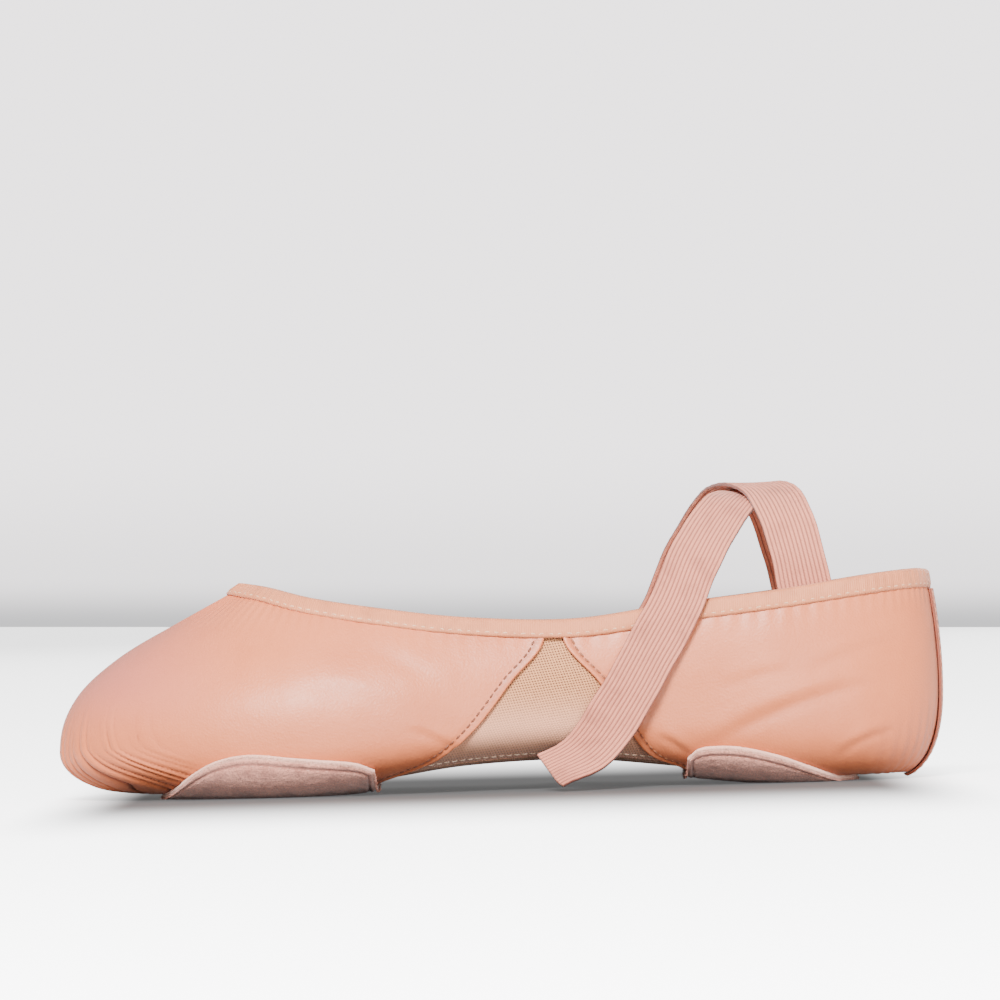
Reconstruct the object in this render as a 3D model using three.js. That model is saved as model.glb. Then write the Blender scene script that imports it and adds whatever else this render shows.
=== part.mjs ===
// Split-sole ballet slipper: gathered leather upper, suede sole pads, mesh arch and two crossing elastics.
// Millimetres, +Z up. The toe points to -X, the shoe's left side is -Y, and the soles stand on z = 0.
import * as THREE from 'three';
import { mergeVertices } from 'three/addons/utils/BufferGeometryUtils.js';

// Driving dimensions of the slipper
const LENGTH = 241.3; // toe tip to the back of the heel
const WIDTH = 78.8; // across the ball
const HEEL_HEIGHT = 57; // floor to the topline at the heel
const STRAP_RISE = 25; // apex of the elastics above the heel topline

// Materials' thicknesses
const LEATHER = 0.9;
const LINING = 0.5;
const SUEDE = 1.0;
const PADDING = 1.8;
const SOCK = 0.8;
const TAPE = 0.5;
const BACK_TAPE = 0.8;
const STRAP_THICKNESS = 1.1;

// Clearances
const GAP = 0.4; // between layers that lie on one another
const FILL_GAP = 0.7; // round the padding
const EDGE_GAP = 1.6; // along the shoe, between a lining and the arch mesh
const SOLE_GAP = 0.6; // between the upper and its sole pads
const STRAP_GAP = 0.6; // between an elastic and the wall beside it
const CROSSING_GAP = 1.1; // between the elastics where one lies over the other

// Widths of the narrow pieces
const BINDING_WIDTH = 4.4;
const BACK_TAPE_WIDTH = 12;
const STRAP_WIDTH = 14.5;
const SEAM_OVERLAP = 3; // arch mesh that runs in under the leather

// The last is drawn at these sizes and stretched to the driving dimensions
const LAST = { length: 241.3, width: 78.8, height: 57, strap: 14.5 };
const FEATHER = 0.5; // share of a section's run from the spine to the widest line
const FLOOR = SOLE_GAP + SUEDE; // height of the upper where it is pressed flat on its pads
const MIDDLE = (LENGTH + GAP + BACK_TAPE) / 2; // from the toe tip to the origin, under the middle

// Sections of the last from the centre of the back, round one side, to the centre of the toe.
// spine: x, z; widest: x, y, z; topline: x, y, z; slope: from the topline down the wall;
// rise: how far the wall stands straight up from the widest line; fullness: squareness of the sole edge.
const SECTIONS = [
  { spine: [226, 0.6], widest: [241.3, 0, 27], topline: [238.6, 0, 56], slope: [1.8, 0, -10], rise: 9, fullness: 2.5 },
  { spine: [224, 0.5], widest: [236.2, 16, 24], topline: [234.2, 12.4, 56.2], slope: [1.4, 1.6, -11], rise: 10, fullness: 2.7 },
  { spine: [217, 0.4], widest: [222, 25.8, 20], topline: [221.5, 20.6, 54.9], slope: [0.6, 3, -12], rise: 11, fullness: 3 },
  { spine: [198, 0.6], widest: [198, 29.2, 18], topline: [199, 25, 51.8], slope: [0, 4, -12], rise: 12, fullness: 3 },
  { spine: [171, 3.4], widest: [170, 28.8, 18], topline: [171, 26.2, 48.8], slope: [0, 3.6, -11], rise: 12, fullness: 2.7 },
  { spine: [142, 6.2], widest: [141, 30.5, 19], topline: [142, 26.5, 45.2], slope: [0, 4, -10], rise: 10, fullness: 2.4 },
  { spine: [112, 5.4], widest: [112, 34.5, 17.5], topline: [112, 26.5, 46.4], slope: [0, 6, -11], rise: 11, fullness: 2.6 },
  { spine: [87, 2.2], widest: [88, 38.4, 15.5], topline: [88, 25, 49.6], slope: [-2, 8.5, -13], rise: 13, fullness: 2.9 },
  { spine: [66, 0.3], widest: [64, 39.4, 15], topline: [70, 20.5, 52.8], slope: [-5, 10.5, -13], rise: 15, fullness: 3.1 },
  { spine: [44, 0.4], widest: [40, 35.4, 15], topline: [58.5, 12.5, 56], slope: [-11, 10.5, -12], rise: 17, fullness: 2.9 },
  { spine: [30, 1.4], widest: [19, 27.4, 14.5], topline: [52.6, 6, 57.2], slope: [-17, 7.5, -12.5], rise: 20, fullness: 2.5 },
  { spine: [23.5, 2], widest: [5, 14.6, 14], topline: [51, 2.7, 57.4], slope: [-21, 3.6, -13.2], rise: 21.5, fullness: 2.2 },
  { spine: [22, 2.2], widest: [0, 0, 14], topline: [50.8, 0, 57.4], slope: [-22.5, 0, -13.6], rise: 22, fullness: 2.1 },
];

// Edges of the leather at the mesh arch, as height and distance from the toe
const VAMP_EDGE = [[0, 86.5], [3, 86.8], [6, 95.2], [9, 102.8], [15, 111], [21, 116.6], [30, 123.6], [39, 131.6], [50, 133.6]];
const QUARTER_EDGE = [[0, 171.6], [4.4, 171.2], [8.3, 162.3], [14, 157.2], [28.7, 148.5], [39, 139.8], [50, 138.2]];
const SLING_EDGE = 0.183; // section share where the arch sling is sewn to the side mesh

// Sole pads' cut outlines: distance from the toe and half width, measured round the sole
const FOREFOOT_PAD = [[24, 8], [27, 18.5], [30, 24.6], [35, 33.2], [40, 38], [46, 41.2], [54, 43], [62, 43.2], [72, 42], [82, 39.4], [86.6, 36]];
const HEEL_PAD = [[171.4, 25.5], [174, 28.6], [180, 30.2], [187, 30.5], [196, 28.8], [205, 25.2], [213, 20], [219, 14], [222.4, 9], [224, 5]];

const stretch = {
  x: (x) => (x * LENGTH) / LAST.length - MIDDLE,
  y: (y) => (y * WIDTH) / LAST.width,
  z: (z) => (z * HEEL_HEIGHT) / LAST.height,
};

/** A point of the last, stretched to the driving dimensions. */
function onLast(x, y, z) {
  return new THREE.Vector3(stretch.x(x), stretch.y(y), stretch.z(z));
}

/** A closed rail through one point of every section and its mirror image. */
function rail(pick) {
  const side = SECTIONS.map(pick);
  const back = side.slice(1, -1).reverse().map((point) => new THREE.Vector3(point.x, -point.y, point.z));
  return new THREE.CatmullRomCurve3([...side, ...back], true, 'catmullrom', 0.5);
}

const rails = {
  spine: rail(({ spine }) => onLast(spine[0], 0, spine[1])),
  widest: rail(({ widest }) => onLast(...widest)),
  shoulder: rail(({ widest: [x, y, z], rise }) => onLast(x, y, z + rise)),
  neck: rail(({ topline: [x, y, z], slope }) => onLast(x + slope[0], y + slope[1], z + slope[2])),
  topline: rail(({ topline }) => onLast(...topline)),
  fullness: rail(({ fullness }) => new THREE.Vector3(fullness, 0, 0)),
};

/** Point of the outer face of the upper: around runs back to toe, up runs spine to topline. */
function lastPoint(around, up) {
  if (up < 0) {
    return mirrored(lastPoint(around, -up));
  }
  const t = ((around / 2) % 1 + 1) % 1;
  const widest = rails.widest.getPoint(t);
  if (up < FEATHER) {
    const spine = rails.spine.getPoint(t);
    const power = rails.fullness.getPoint(t).x;
    const angle = (up / FEATHER) * (Math.PI / 2);
    const radius = (Math.sin(angle) ** power + Math.cos(angle) ** power) ** (-1 / power);
    const out = radius * Math.sin(angle);
    const down = radius * Math.cos(angle);
    return new THREE.Vector3(
      THREE.MathUtils.lerp(spine.x, widest.x, out),
      THREE.MathUtils.lerp(spine.y, widest.y, out),
      THREE.MathUtils.lerp(widest.z, spine.z, down),
    );
  }
  const wall = new THREE.CubicBezierCurve3(
    widest,
    rails.shoulder.getPoint(t),
    rails.neck.getPoint(t),
    rails.topline.getPoint(t),
  );
  return wall.getPoint((up - FEATHER) / (1 - FEATHER));
}

/** The mirror image of a point in the slipper's middle plane. */
function mirrored(point) {
  return new THREE.Vector3(point.x, -point.y, point.z);
}

/** Outward normal of the upper, taken a little up the end section where the spine begins and stops. */
function lastNormal(around, up) {
  const step = 0.002;
  const atEnd = Math.abs(Math.sin(Math.PI * around)) < step;
  if (atEnd && Math.abs(up) < 2 * step) {
    return lastNormal(around, 2 * step);
  }
  const top = Math.min(up + step, 1);
  const along = lastPoint(around + step, up).sub(lastPoint(around - step, up));
  const across = lastPoint(around, top).sub(lastPoint(around, top - 2 * step));
  return along.cross(across).normalize();
}

/** Point of the layer that lies offset outside the upper's face, pressed flat over the floor. */
function layerPoint(around, up, offset) {
  const point = lastPoint(around, up).addScaledVector(lastNormal(around, up), offset);
  point.z = Math.max(point.z, FLOOR - offset);
  return point;
}

/** Where a falling function crosses zero between two values. */
function solve(fall, low, high) {
  for (let halving = 0; halving < 26; halving += 1) {
    const middle = (low + high) / 2;
    if (fall(middle) > 0) {
      low = middle;
    } else {
      high = middle;
    }
  }
  return (low + high) / 2;
}

/** Smooth value at a place among [place, value] knots. */
function between(knots, at) {
  const last = knots.length - 1;
  if (at <= knots[0][0]) {
    return knots[0][1];
  }
  if (at >= knots[last][0]) {
    return knots[last][1];
  }
  const i = knots.findIndex(([place]) => place > at) - 1;
  const rate = (a, b) => (knots[b][1] - knots[a][1]) / (knots[b][0] - knots[a][0]);
  const span = knots[i + 1][0] - knots[i][0];
  const t = (at - knots[i][0]) / span;
  const start = rate(Math.max(i - 1, 0), i + 1) * span;
  const end = rate(i, Math.min(i + 2, last)) * span;
  const [p, q] = [knots[i][1], knots[i + 1][1]];
  return p + t * (start + t * (3 * (q - p) - 2 * start - end + t * (start + end - 2 * (q - p))));
}

/** Place round the upper, at one height share, that lies at distance x from the toe. */
function aroundAt(x, up) {
  return solve((around) => lastPoint(around, up).x - stretch.x(x), 0, 1);
}

/** Place round the upper where a seam edge, moved along the shoe, crosses one height share. */
function aroundEdge(edge, shift, up) {
  const height = (point) => Math.max(point.z, stretch.z(FLOOR)) / stretch.z(1);
  const beyond = (point) => point.x - stretch.x(between(edge, height(point))) - shift;
  return solve((around) => beyond(lastPoint(around, up)), 0, 1);
}

/** Height share that lies at a distance round the sole from the spine, in the section at x. */
function upAtGirth(x, girth) {
  const step = 0.0125;
  const at = (up) => lastPoint(aroundAt(x, up), up);
  let run = 0;
  let before = at(0);
  for (let up = step; up <= 1; up += step) {
    const point = at(up);
    const stride = point.distanceTo(before);
    if (run + stride >= girth) {
      return up - step + (step * (girth - run)) / stride;
    }
    run += stride;
    before = point;
  }
  return 1;
}

/** Turns position triangles into one welded solid whose faces point outwards. */
function solid(points, triangles) {
  const raw = new THREE.BufferGeometry();
  raw.setAttribute('position', new THREE.Float32BufferAttribute(points.flatMap((p) => [p.x, p.y, p.z]), 3));
  raw.setIndex(triangles.flat());
  const welded = mergeVertices(raw, 1e-3);
  const index = Array.from(welded.index.array);
  const kept = [];
  for (let i = 0; i < index.length; i += 3) {
    const [a, b, c] = index.slice(i, i + 3);
    if (a !== b && b !== c && c !== a) {
      kept.push([a, b, c]);
    }
  }
  const place = welded.attributes.position;
  const corner = (i) => new THREE.Vector3().fromBufferAttribute(place, i);
  const volume = kept.reduce((sum, [a, b, c]) => sum + corner(a).dot(corner(b).cross(corner(c))), 0);
  welded.setIndex(kept.flatMap(([a, b, c]) => (volume > 0 ? [a, b, c] : [a, c, b])));
  welded.computeVertexNormals();
  return welded;
}

/** Closed shell between the two faces of a grid: at(i, j, face) is a point, face 0 outside and 1 inside. */
function shell(rows, columns, at, rims = ['first', 'last', 'left', 'right']) {
  const width = columns + 1;
  const layer = (rows + 1) * width;
  const index = (face, i, j) => face * layer + i * width + j;
  const points = [];
  const triangles = [];
  const quad = (a, b, c, d) => triangles.push([a, b, c], [a, c, d]);
  for (const face of [0, 1]) {
    for (let i = 0; i <= rows; i += 1) {
      for (let j = 0; j <= columns; j += 1) {
        points.push(at(i, j, face));
      }
    }
  }
  for (let i = 0; i < rows; i += 1) {
    for (let j = 0; j < columns; j += 1) {
      quad(index(0, i, j), index(0, i + 1, j), index(0, i + 1, j + 1), index(0, i, j + 1));
      quad(index(1, i, j), index(1, i, j + 1), index(1, i + 1, j + 1), index(1, i + 1, j));
    }
  }
  for (let i = 0; i < rows; i += 1) {
    if (rims.includes('left')) {
      quad(index(0, i, 0), index(1, i, 0), index(1, i + 1, 0), index(0, i + 1, 0));
    }
    if (rims.includes('right')) {
      quad(index(0, i, columns), index(0, i + 1, columns), index(1, i + 1, columns), index(1, i, columns));
    }
  }
  for (let j = 0; j < columns; j += 1) {
    if (rims.includes('first')) {
      quad(index(0, 0, j), index(0, 0, j + 1), index(1, 0, j + 1), index(1, 0, j));
    }
    if (rims.includes('last')) {
      quad(index(0, rows, j), index(1, rows, j), index(1, rows, j + 1), index(0, rows, j + 1));
    }
  }
  return solid(points, triangles);
}

/** Solid through a row of matching outlines, closed end to end in a loop or capped by flat ends. */
function sweep(outlines, loop) {
  const sides = outlines[0].length;
  const triangles = [];
  const spans = loop ? outlines.length : outlines.length - 1;
  for (let i = 0; i < spans; i += 1) {
    const here = i * sides;
    const next = ((i + 1) % outlines.length) * sides;
    for (let j = 0; j < sides; j += 1) {
      const k = (j + 1) % sides;
      triangles.push([here + j, here + k, next + k], [here + j, next + k, next + j]);
    }
  }
  if (!loop) {
    const end = spans * sides;
    for (let j = 1; j < sides - 1; j += 1) {
      triangles.push([0, j + 1, j], [end, end + j, end + j + 1]);
    }
  }
  return solid(outlines.flat(), triangles);
}

/** Layer that wraps the toe, or the heel, in one piece and closes along the spine. */
function cup({ end, edge, top, offset, thickness, columns, rows }) {
  const at = (i, j, face) => {
    const up = (top * j) / rows;
    const from = edge(up);
    const around = from + ((end - from) * 2 * i) / columns;
    return layerPoint(around, up, offset - face * thickness);
  };
  return shell(columns, rows, at, ['first', 'last', 'right']);
}

/** Half of a layer that meets its mirror image at the back and under the sole. */
function halfLayer({ side, edge, bottom, top, offset, thickness, columns, rows }) {
  const at = (i, j, face) => {
    const up = bottom + ((top - bottom) * j) / rows;
    const [from, to] = edge(up);
    const point = layerPoint(THREE.MathUtils.lerp(from, to, i / columns), up, offset - face * thickness);
    point.y = side * Math.max(point.y, GAP / 2);
    return point;
  };
  return shell(columns, rows, at);
}

/** Strip across the sole from one side to the other. */
function acrossSole({ edge, reach, offset, thickness, columns, rows }) {
  const at = (i, j, face) => {
    const share = (2 * j) / rows - 1;
    const up = reach(i / columns) * share;
    return layerPoint(edge(i / columns, Math.abs(up)), up, offset - face * thickness);
  };
  return shell(columns, rows, at);
}

/** Sole pad cut to a flat outline and wrapped round the sole. */
function solePad(outline, columns, rows) {
  const [first, last] = [outline[0][0], outline[outline.length - 1][0]];
  const stations = Array.from({ length: columns + 1 }, (_, i) => {
    const x = first + ((last - first) * (1 - Math.cos((Math.PI * i) / columns))) / 2;
    return { x, reach: upAtGirth(x, between(outline, x) * (WIDTH / LAST.width)) };
  });
  const at = (i, j, face) => {
    const { x, reach } = stations[i];
    const up = reach * ((2 * j) / rows - 1);
    return layerPoint(aroundAt(x, Math.abs(up)), up, FLOOR - face * SUEDE);
  };
  return shell(columns, rows, at);
}

/** Folded tape that covers the topline all round, seen as a narrow U in section. */
function bindingGeometry() {
  const steps = 64;
  const outside = GAP + TAPE;
  const inside = -(LEATHER + GAP + LINING + GAP + TAPE);
  const outline = [
    [outside, BINDING_WIDTH],
    [outside, 0],
    [outside - TAPE, -GAP - TAPE],
    [inside + TAPE, -GAP - TAPE],
    [inside, 0],
    [inside, BINDING_WIDTH],
    [inside + TAPE, BINDING_WIDTH],
    [inside + TAPE, -GAP],
    [outside - TAPE, -GAP],
    [outside - TAPE, BINDING_WIDTH],
  ];
  const outlines = Array.from({ length: steps }, (_, i) => {
    const around = (2 * i) / steps;
    return outline.map(([offset, down]) => belowTopline(around, down, offset));
  });
  return sweep(outlines, true);
}

/** Point a distance down the wall from the topline, in the layer at an offset. */
function belowTopline(around, down, offset) {
  const edge = layerPoint(around, 1, offset);
  const slope = lastPoint(around, 0.99).sub(lastPoint(around, 1)).normalize();
  if (down <= 0) {
    return edge.addScaledVector(slope, down);
  }
  return layerPoint(around, upBelowTopline(around, down), offset);
}

/** Height share a distance down the wall from the topline. */
function upBelowTopline(around, down) {
  const topline = lastPoint(around, 1);
  return solve((up) => lastPoint(around, up).distanceTo(topline) - down, 0.75, 1);
}

/** Strip over the back seam, from the binding to the heel pad. */
function backTapeGeometry() {
  const bottom = 0.12;
  const rows = 18;
  const top = upBelowTopline(0, BINDING_WIDTH + GAP);
  const at = (i, j, face) => {
    const up = THREE.MathUtils.lerp(bottom, top, i / rows);
    const half = (BACK_TAPE_WIDTH / 2) * THREE.MathUtils.clamp(0.5 + (up - bottom) * 2.2, 0, 1);
    const edge = solve((around) => half - lastPoint(around, up).y, 0, 0.16);
    return layerPoint(edge * (j / 2 - 1), up, GAP + BACK_TAPE - face * BACK_TAPE);
  };
  return shell(rows, 4, at);
}

/** Half width of the topline at a distance from the toe. */
function toplineHalfWidth(x) {
  return lastPoint(aroundAt(x, 1), 1).y;
}

// Elastics: each is sewn inside one quarter, arches over the instep and hangs free outside the other side.
const apex = stretch.z(LAST.height) + STRAP_RISE;
const rootY = toplineHalfWidth(211.5) - LEATHER - LINING - TAPE - 2 * GAP - STRAP_GAP - STRAP_THICKNESS / 2;
const tailY = toplineHalfWidth(169.2) + GAP + TAPE + STRAP_GAP + STRAP_THICKNESS / 2 + 0.6;
const END_TWIST = 0.5; // radians that the lower edge turns out at the free end
const TAIL_START = 0.655; // share of the path where the free end begins
// A wide elastic, or a narrow slipper with its steeper arch, needs more room where one lies over the other
const crossingRoom = CROSSING_GAP * ((STRAP_WIDTH * LAST.width) / (LAST.strap * WIDTH)) ** 3;

/** Path of an elastic from its sewn end to its free end; root is the side it is sewn to. */
function strapPath(root, crossing) {
  const top = apex - STRAP_THICKNESS / 2 - crossing;
  const drop = (share) => THREE.MathUtils.lerp(stretch.z(53.5), top, share);
  const points = [
    [206.8, rootY + 3.2, stretch.z(40)],
    [205.4, rootY + 1, stretch.z(47.5)],
    [204.3, rootY - 0.1, stretch.z(53.5)],
    [202.4, rootY + 0.4, drop(0.34)],
    [200, rootY * 0.88, drop(0.66)],
    [196.4, rootY * 0.47, drop(0.92)],
    [191, 0, top],
    [186, -rootY * 0.47, drop(0.92)],
    [180.2, -rootY * 0.88, drop(0.66)],
    [174.2, -rootY * 0.45 - tailY * 0.55, drop(0.28)],
    [169.2, -tailY, stretch.z(49.5)],
    [162, -tailY - 2.4, stretch.z(37)],
    [154, -tailY - 4.6, stretch.z(23.6)],
    [144.4, -tailY - 7.2, stretch.z(11)],
    [133.6, -tailY - 9, stretch.z(5.4)],
  ];
  const places = points.map(([x, y, z]) => new THREE.Vector3(stretch.x(x), root * y, z));
  return new THREE.CatmullRomCurve3(places, false, 'centripetal');
}

/** Frame of an elastic at a share of its path: centre, run, face and width directions. */
function strapFrame(path, root, share) {
  const centre = path.getPointAt(share);
  const run = path.getTangentAt(share);
  const face = new THREE.Vector3(0, root * run.z, -root * run.y).normalize();
  face.addScaledVector(run, -face.dot(run)).normalize();
  face.applyAxisAngle(run, root * END_TWIST * THREE.MathUtils.smoothstep(share, 0.82, 1));
  return { centre, run, face, width: run.clone().cross(face) };
}

/** Flat band along part of an elastic's path. */
function bandGeometry(path, root, from, to, steps) {
  const corners = [[-1, -1], [1, -1], [1, 1], [-1, 1]];
  const outlines = Array.from({ length: steps + 1 }, (_, i) => {
    const { centre, face, width } = strapFrame(path, root, THREE.MathUtils.lerp(from, to, i / steps));
    return corners.map(([across, through]) => centre.clone()
      .addScaledVector(width, (across * STRAP_WIDTH) / 2)
      .addScaledVector(face, (through * STRAP_THICKNESS) / 2));
  });
  return sweep(outlines, false);
}

const LEATHER_FINISH = { color: 0xdcaa94, roughness: 0.42, metalness: 0 };
const LINING_FINISH = { color: 0xe6cdb8, roughness: 0.9, metalness: 0 };
const SUEDE_FINISH = { color: 0xdcb4a8, roughness: 0.95, metalness: 0 };
const SOCK_FINISH = { color: 0xe2c6ae, roughness: 0.9, metalness: 0 };
const FOAM_FINISH = { color: 0xeee4d4, roughness: 1, metalness: 0 };
const MESH_FINISH = { color: 0xcfa184, roughness: 0.85, metalness: 0 };
const BINDING_FINISH = { color: 0xe0b494, roughness: 0.6, metalness: 0 };
const ELASTIC_FINISH = { color: 0xd8a698, roughness: 0.8, metalness: 0 };

const slipper = new THREE.Group();

/** Adds one named piece with a material of its own. */
function piece(name, geometry, finish) {
  const mesh = new THREE.Mesh(geometry, new THREE.MeshStandardMaterial(finish));
  mesh.name = name;
  slipper.add(mesh);
}

/** Toe half: gathered vamp, its lining and its inner sole. */
function addForefoot() {
  const liningOffset = -LEATHER - GAP;
  const paddingOffset = liningOffset - LINING - FILL_GAP;
  const sockOffset = paddingOffset - PADDING - GAP;
  const leatherEdge = (up) => aroundEdge(VAMP_EDGE, 0, up);
  const liningEdge = (up) => aroundEdge(VAMP_EDGE, -SEAM_OVERLAP - EDGE_GAP, up);
  const soleEdge = (x) => (up) => aroundAt(x, up);
  const vamp = { end: 1, edge: leatherEdge, top: 1, offset: 0, thickness: LEATHER, columns: 28, rows: 16 };
  const lining = { end: 1, edge: liningEdge, top: 1, offset: liningOffset, thickness: LINING, columns: 28, rows: 16 };
  const padding = { end: 1, edge: soleEdge(84), top: 0.3, offset: paddingOffset, thickness: PADDING, columns: 22, rows: 5 };
  const sock = { end: 1, edge: soleEdge(85), top: 0.3, offset: sockOffset, thickness: SOCK, columns: 22, rows: 5 };
  piece('vamp', cup(vamp), LEATHER_FINISH);
  piece('vamp_lining', cup(lining), LINING_FINISH);
  piece('forefoot_padding', cup(padding), FOAM_FINISH);
  piece('forefoot_insole', cup(sock), SOCK_FINISH);
  piece('forefoot_outsole', solePad(FOREFOOT_PAD, 14, 24), SUEDE_FINISH);
}

/** Mesh arch: a panel in each side and the sling under the foot. */
function addArch() {
  const offset = -LEATHER - GAP;
  const front = (up) => aroundEdge(VAMP_EDGE, -SEAM_OVERLAP, up);
  const rear = (up) => aroundEdge(QUARTER_EDGE, SEAM_OVERLAP, up);
  const panel = { edge: (up) => [front(up), rear(up)], bottom: SLING_EDGE + 0.006, top: 1, offset, thickness: LINING };
  for (const [name, side] of [['left_arch_mesh', -1], ['right_arch_mesh', 1]]) {
    piece(name, halfLayer({ ...panel, side, columns: 8, rows: 14 }), MESH_FINISH);
  }
  const edge = (share, up) => THREE.MathUtils.lerp(front(up), rear(up), share);
  const sling = { edge, reach: () => SLING_EDGE - 0.004, offset, thickness: LINING, columns: 10, rows: 10 };
  piece('arch_sling', acrossSole(sling), MESH_FINISH);
}

/** Heel half: two quarters closed by the back tape, their linings and the heel's inner sole. */
function addHeel() {
  const liningOffset = -LEATHER - GAP;
  const paddingOffset = liningOffset - LINING - FILL_GAP;
  const sockOffset = paddingOffset - PADDING - GAP;
  const quarterEdge = (up) => [0, aroundEdge(QUARTER_EDGE, 0, up)];
  const liningEdge = (up) => [0, aroundEdge(QUARTER_EDGE, SEAM_OVERLAP + EDGE_GAP, up)];
  for (const [name, side] of [['left', -1], ['right', 1]]) {
    const quarter = { side, edge: quarterEdge, bottom: 0, top: 1, offset: 0, thickness: LEATHER, columns: 12, rows: 16 };
    const lining = { ...quarter, edge: liningEdge, offset: liningOffset, thickness: LINING };
    piece(`${name}_quarter`, halfLayer(quarter), LEATHER_FINISH);
    piece(`${name}_quarter_lining`, halfLayer(lining), LINING_FINISH);
  }
  const inner = { end: 0, top: 0.3, columns: 18, rows: 5 };
  const soleEdge = (x) => (up) => aroundAt(x, up);
  const padding = { ...inner, edge: soleEdge(175), offset: paddingOffset, thickness: PADDING };
  const sock = { ...inner, edge: soleEdge(174), offset: sockOffset, thickness: SOCK };
  piece('heel_padding', cup(padding), FOAM_FINISH);
  piece('heel_insole', cup(sock), SOCK_FINISH);
  piece('heel_outsole', solePad(HEEL_PAD, 12, 18), SUEDE_FINISH);
  piece('back_seam_tape', backTapeGeometry(), LEATHER_FINISH);
}

/** The two elastics, the left one over the right one, each with its hanging end. */
function addStraps() {
  for (const [name, root, crossing] of [['left', -1, 0], ['right', 1, STRAP_THICKNESS + crossingRoom]]) {
    const path = strapPath(root, crossing);
    const cut = GAP / path.getLength();
    piece(`${name}_strap`, bandGeometry(path, root, 0, TAIL_START, 44), ELASTIC_FINISH);
    piece(`${name}_strap_tail`, bandGeometry(path, root, TAIL_START + cut, 1, 26), ELASTIC_FINISH);
  }
}

addForefoot();
addArch();
addHeel();
piece('topline_binding', bindingGeometry(), BINDING_FINISH);
addStraps();

export default slipper;
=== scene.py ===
import logging
import math
from collections.abc import Callable, Sequence
from dataclasses import dataclass, field
from enum import Enum
from functools import cache
from typing import Self

import bpy
import numpy as np
from mathutils import Matrix, Vector, noise


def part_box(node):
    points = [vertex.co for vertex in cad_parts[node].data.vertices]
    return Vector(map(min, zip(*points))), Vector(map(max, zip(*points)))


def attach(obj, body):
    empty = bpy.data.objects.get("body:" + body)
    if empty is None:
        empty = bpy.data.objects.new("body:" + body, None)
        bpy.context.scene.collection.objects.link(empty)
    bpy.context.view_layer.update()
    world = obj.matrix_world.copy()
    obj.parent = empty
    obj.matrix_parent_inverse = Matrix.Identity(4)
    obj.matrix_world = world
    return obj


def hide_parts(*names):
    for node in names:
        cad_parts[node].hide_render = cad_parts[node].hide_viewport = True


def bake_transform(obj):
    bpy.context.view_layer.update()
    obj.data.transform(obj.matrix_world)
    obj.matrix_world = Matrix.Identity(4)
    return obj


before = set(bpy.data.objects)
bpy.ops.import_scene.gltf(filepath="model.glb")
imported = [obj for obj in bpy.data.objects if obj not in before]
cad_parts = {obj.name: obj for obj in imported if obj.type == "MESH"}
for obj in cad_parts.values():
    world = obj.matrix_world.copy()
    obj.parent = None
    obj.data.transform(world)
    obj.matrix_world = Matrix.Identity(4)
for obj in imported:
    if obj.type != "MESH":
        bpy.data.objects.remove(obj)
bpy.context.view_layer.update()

# A split-sole ballet slipper. Sizes are in millimetres on the last and become metres when a mesh is made.
MM = 0.001
MIDDLE = -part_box("vamp")[0].x / MM  # from the toe tip to the origin
SEED = 7
SIDES = {"left": -1, "right": 1}

Array = np.ndarray
Knots = Sequence[Sequence[float]]
log = logging.getLogger("slipper")


class Body(str, Enum):
    """The bodies of the frame that pieces ride on."""

    FOREFOOT = "forefoot"
    HEEL = "heel"
    LEFT_ELASTIC = "left_elastic"
    RIGHT_ELASTIC = "right_elastic"
    LEFT_TAIL = "left_elastic_tail"
    RIGHT_TAIL = "right_elastic_tail"


def unit(vectors: Array) -> Array:
    """Vectors scaled to a length of one."""
    return vectors / np.maximum(np.linalg.norm(vectors, axis=-1, keepdims=True), 1e-12)


def mix(a: Array, b: Array, share: Array) -> Array:
    """Straight line mix of two values or points."""
    return a + (b - a) * share


def smooth(low: float, high: float, value: Array) -> Array:
    """Smooth step from 0 at low to 1 at high."""
    t = np.clip((np.asarray(value, float) - low) / (high - low), 0, 1)
    return t * t * (3 - 2 * t)


def run_along(points: Array, axis: int = 0) -> Array:
    """Distance of each point from the first one, along lines of points."""
    steps = np.linalg.norm(np.diff(points, axis=axis), axis=-1)
    return np.concatenate([np.zeros_like(np.take(steps, [0], axis)), np.cumsum(steps, axis)], axis)


def between(knots: Knots, at: Array) -> Array:
    """Smooth value at a place among (place, value) knots.

    Args:
        knots: Places in rising order, each with its value.
        at: Places to read, held to the first and last knot.

    Returns:
        The value at each place.
    """
    places, values = np.array(knots, float).T
    at = np.clip(at, places[0], places[-1])
    i = np.clip(np.searchsorted(places, at, side="right") - 1, 0, len(places) - 2)
    before, after = np.maximum(i - 1, 0), np.minimum(i + 2, len(places) - 1)
    span = places[i + 1] - places[i]
    t = (at - places[i]) / span
    start = (values[i + 1] - values[before]) / (places[i + 1] - places[before]) * span
    end = (values[after] - values[i]) / (places[after] - places[i]) * span
    p, q = values[i], values[i + 1]
    return p + t * (start + t * (3 * (q - p) - 2 * start - end + t * (start + end - 2 * (q - p))))


def falling_root(fall: Callable[[Array], Array], low: Array, high: Array) -> Array:
    """Place where a falling function crosses zero, for many at once.

    Args:
        fall: The function, of an array of places.
        low: Where each search starts.
        high: Where each search ends.

    Returns:
        The place of each crossing.
    """
    low, high = np.array(low, float), np.array(high, float)
    for _ in range(22):
        middle = (low + high) / 2
        above = fall(middle) > 0
        low, high = np.where(above, middle, low), np.where(above, high, middle)
    return (low + high) / 2


def cloud(points: Array, size: float, seed: int) -> Array:
    """Soft noise between about -1 and 1 at every point.

    Args:
        points: Places in millimetres.
        size: Millimetres from one soft hump to the next.
        seed: Moves the pattern.

    Returns:
        One number for each point.
    """
    flat = points.reshape(-1, 3) / size + seed * 17.31
    return np.array([noise.noise(Vector(p)) for p in flat]).reshape(points.shape[:-1])


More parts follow.
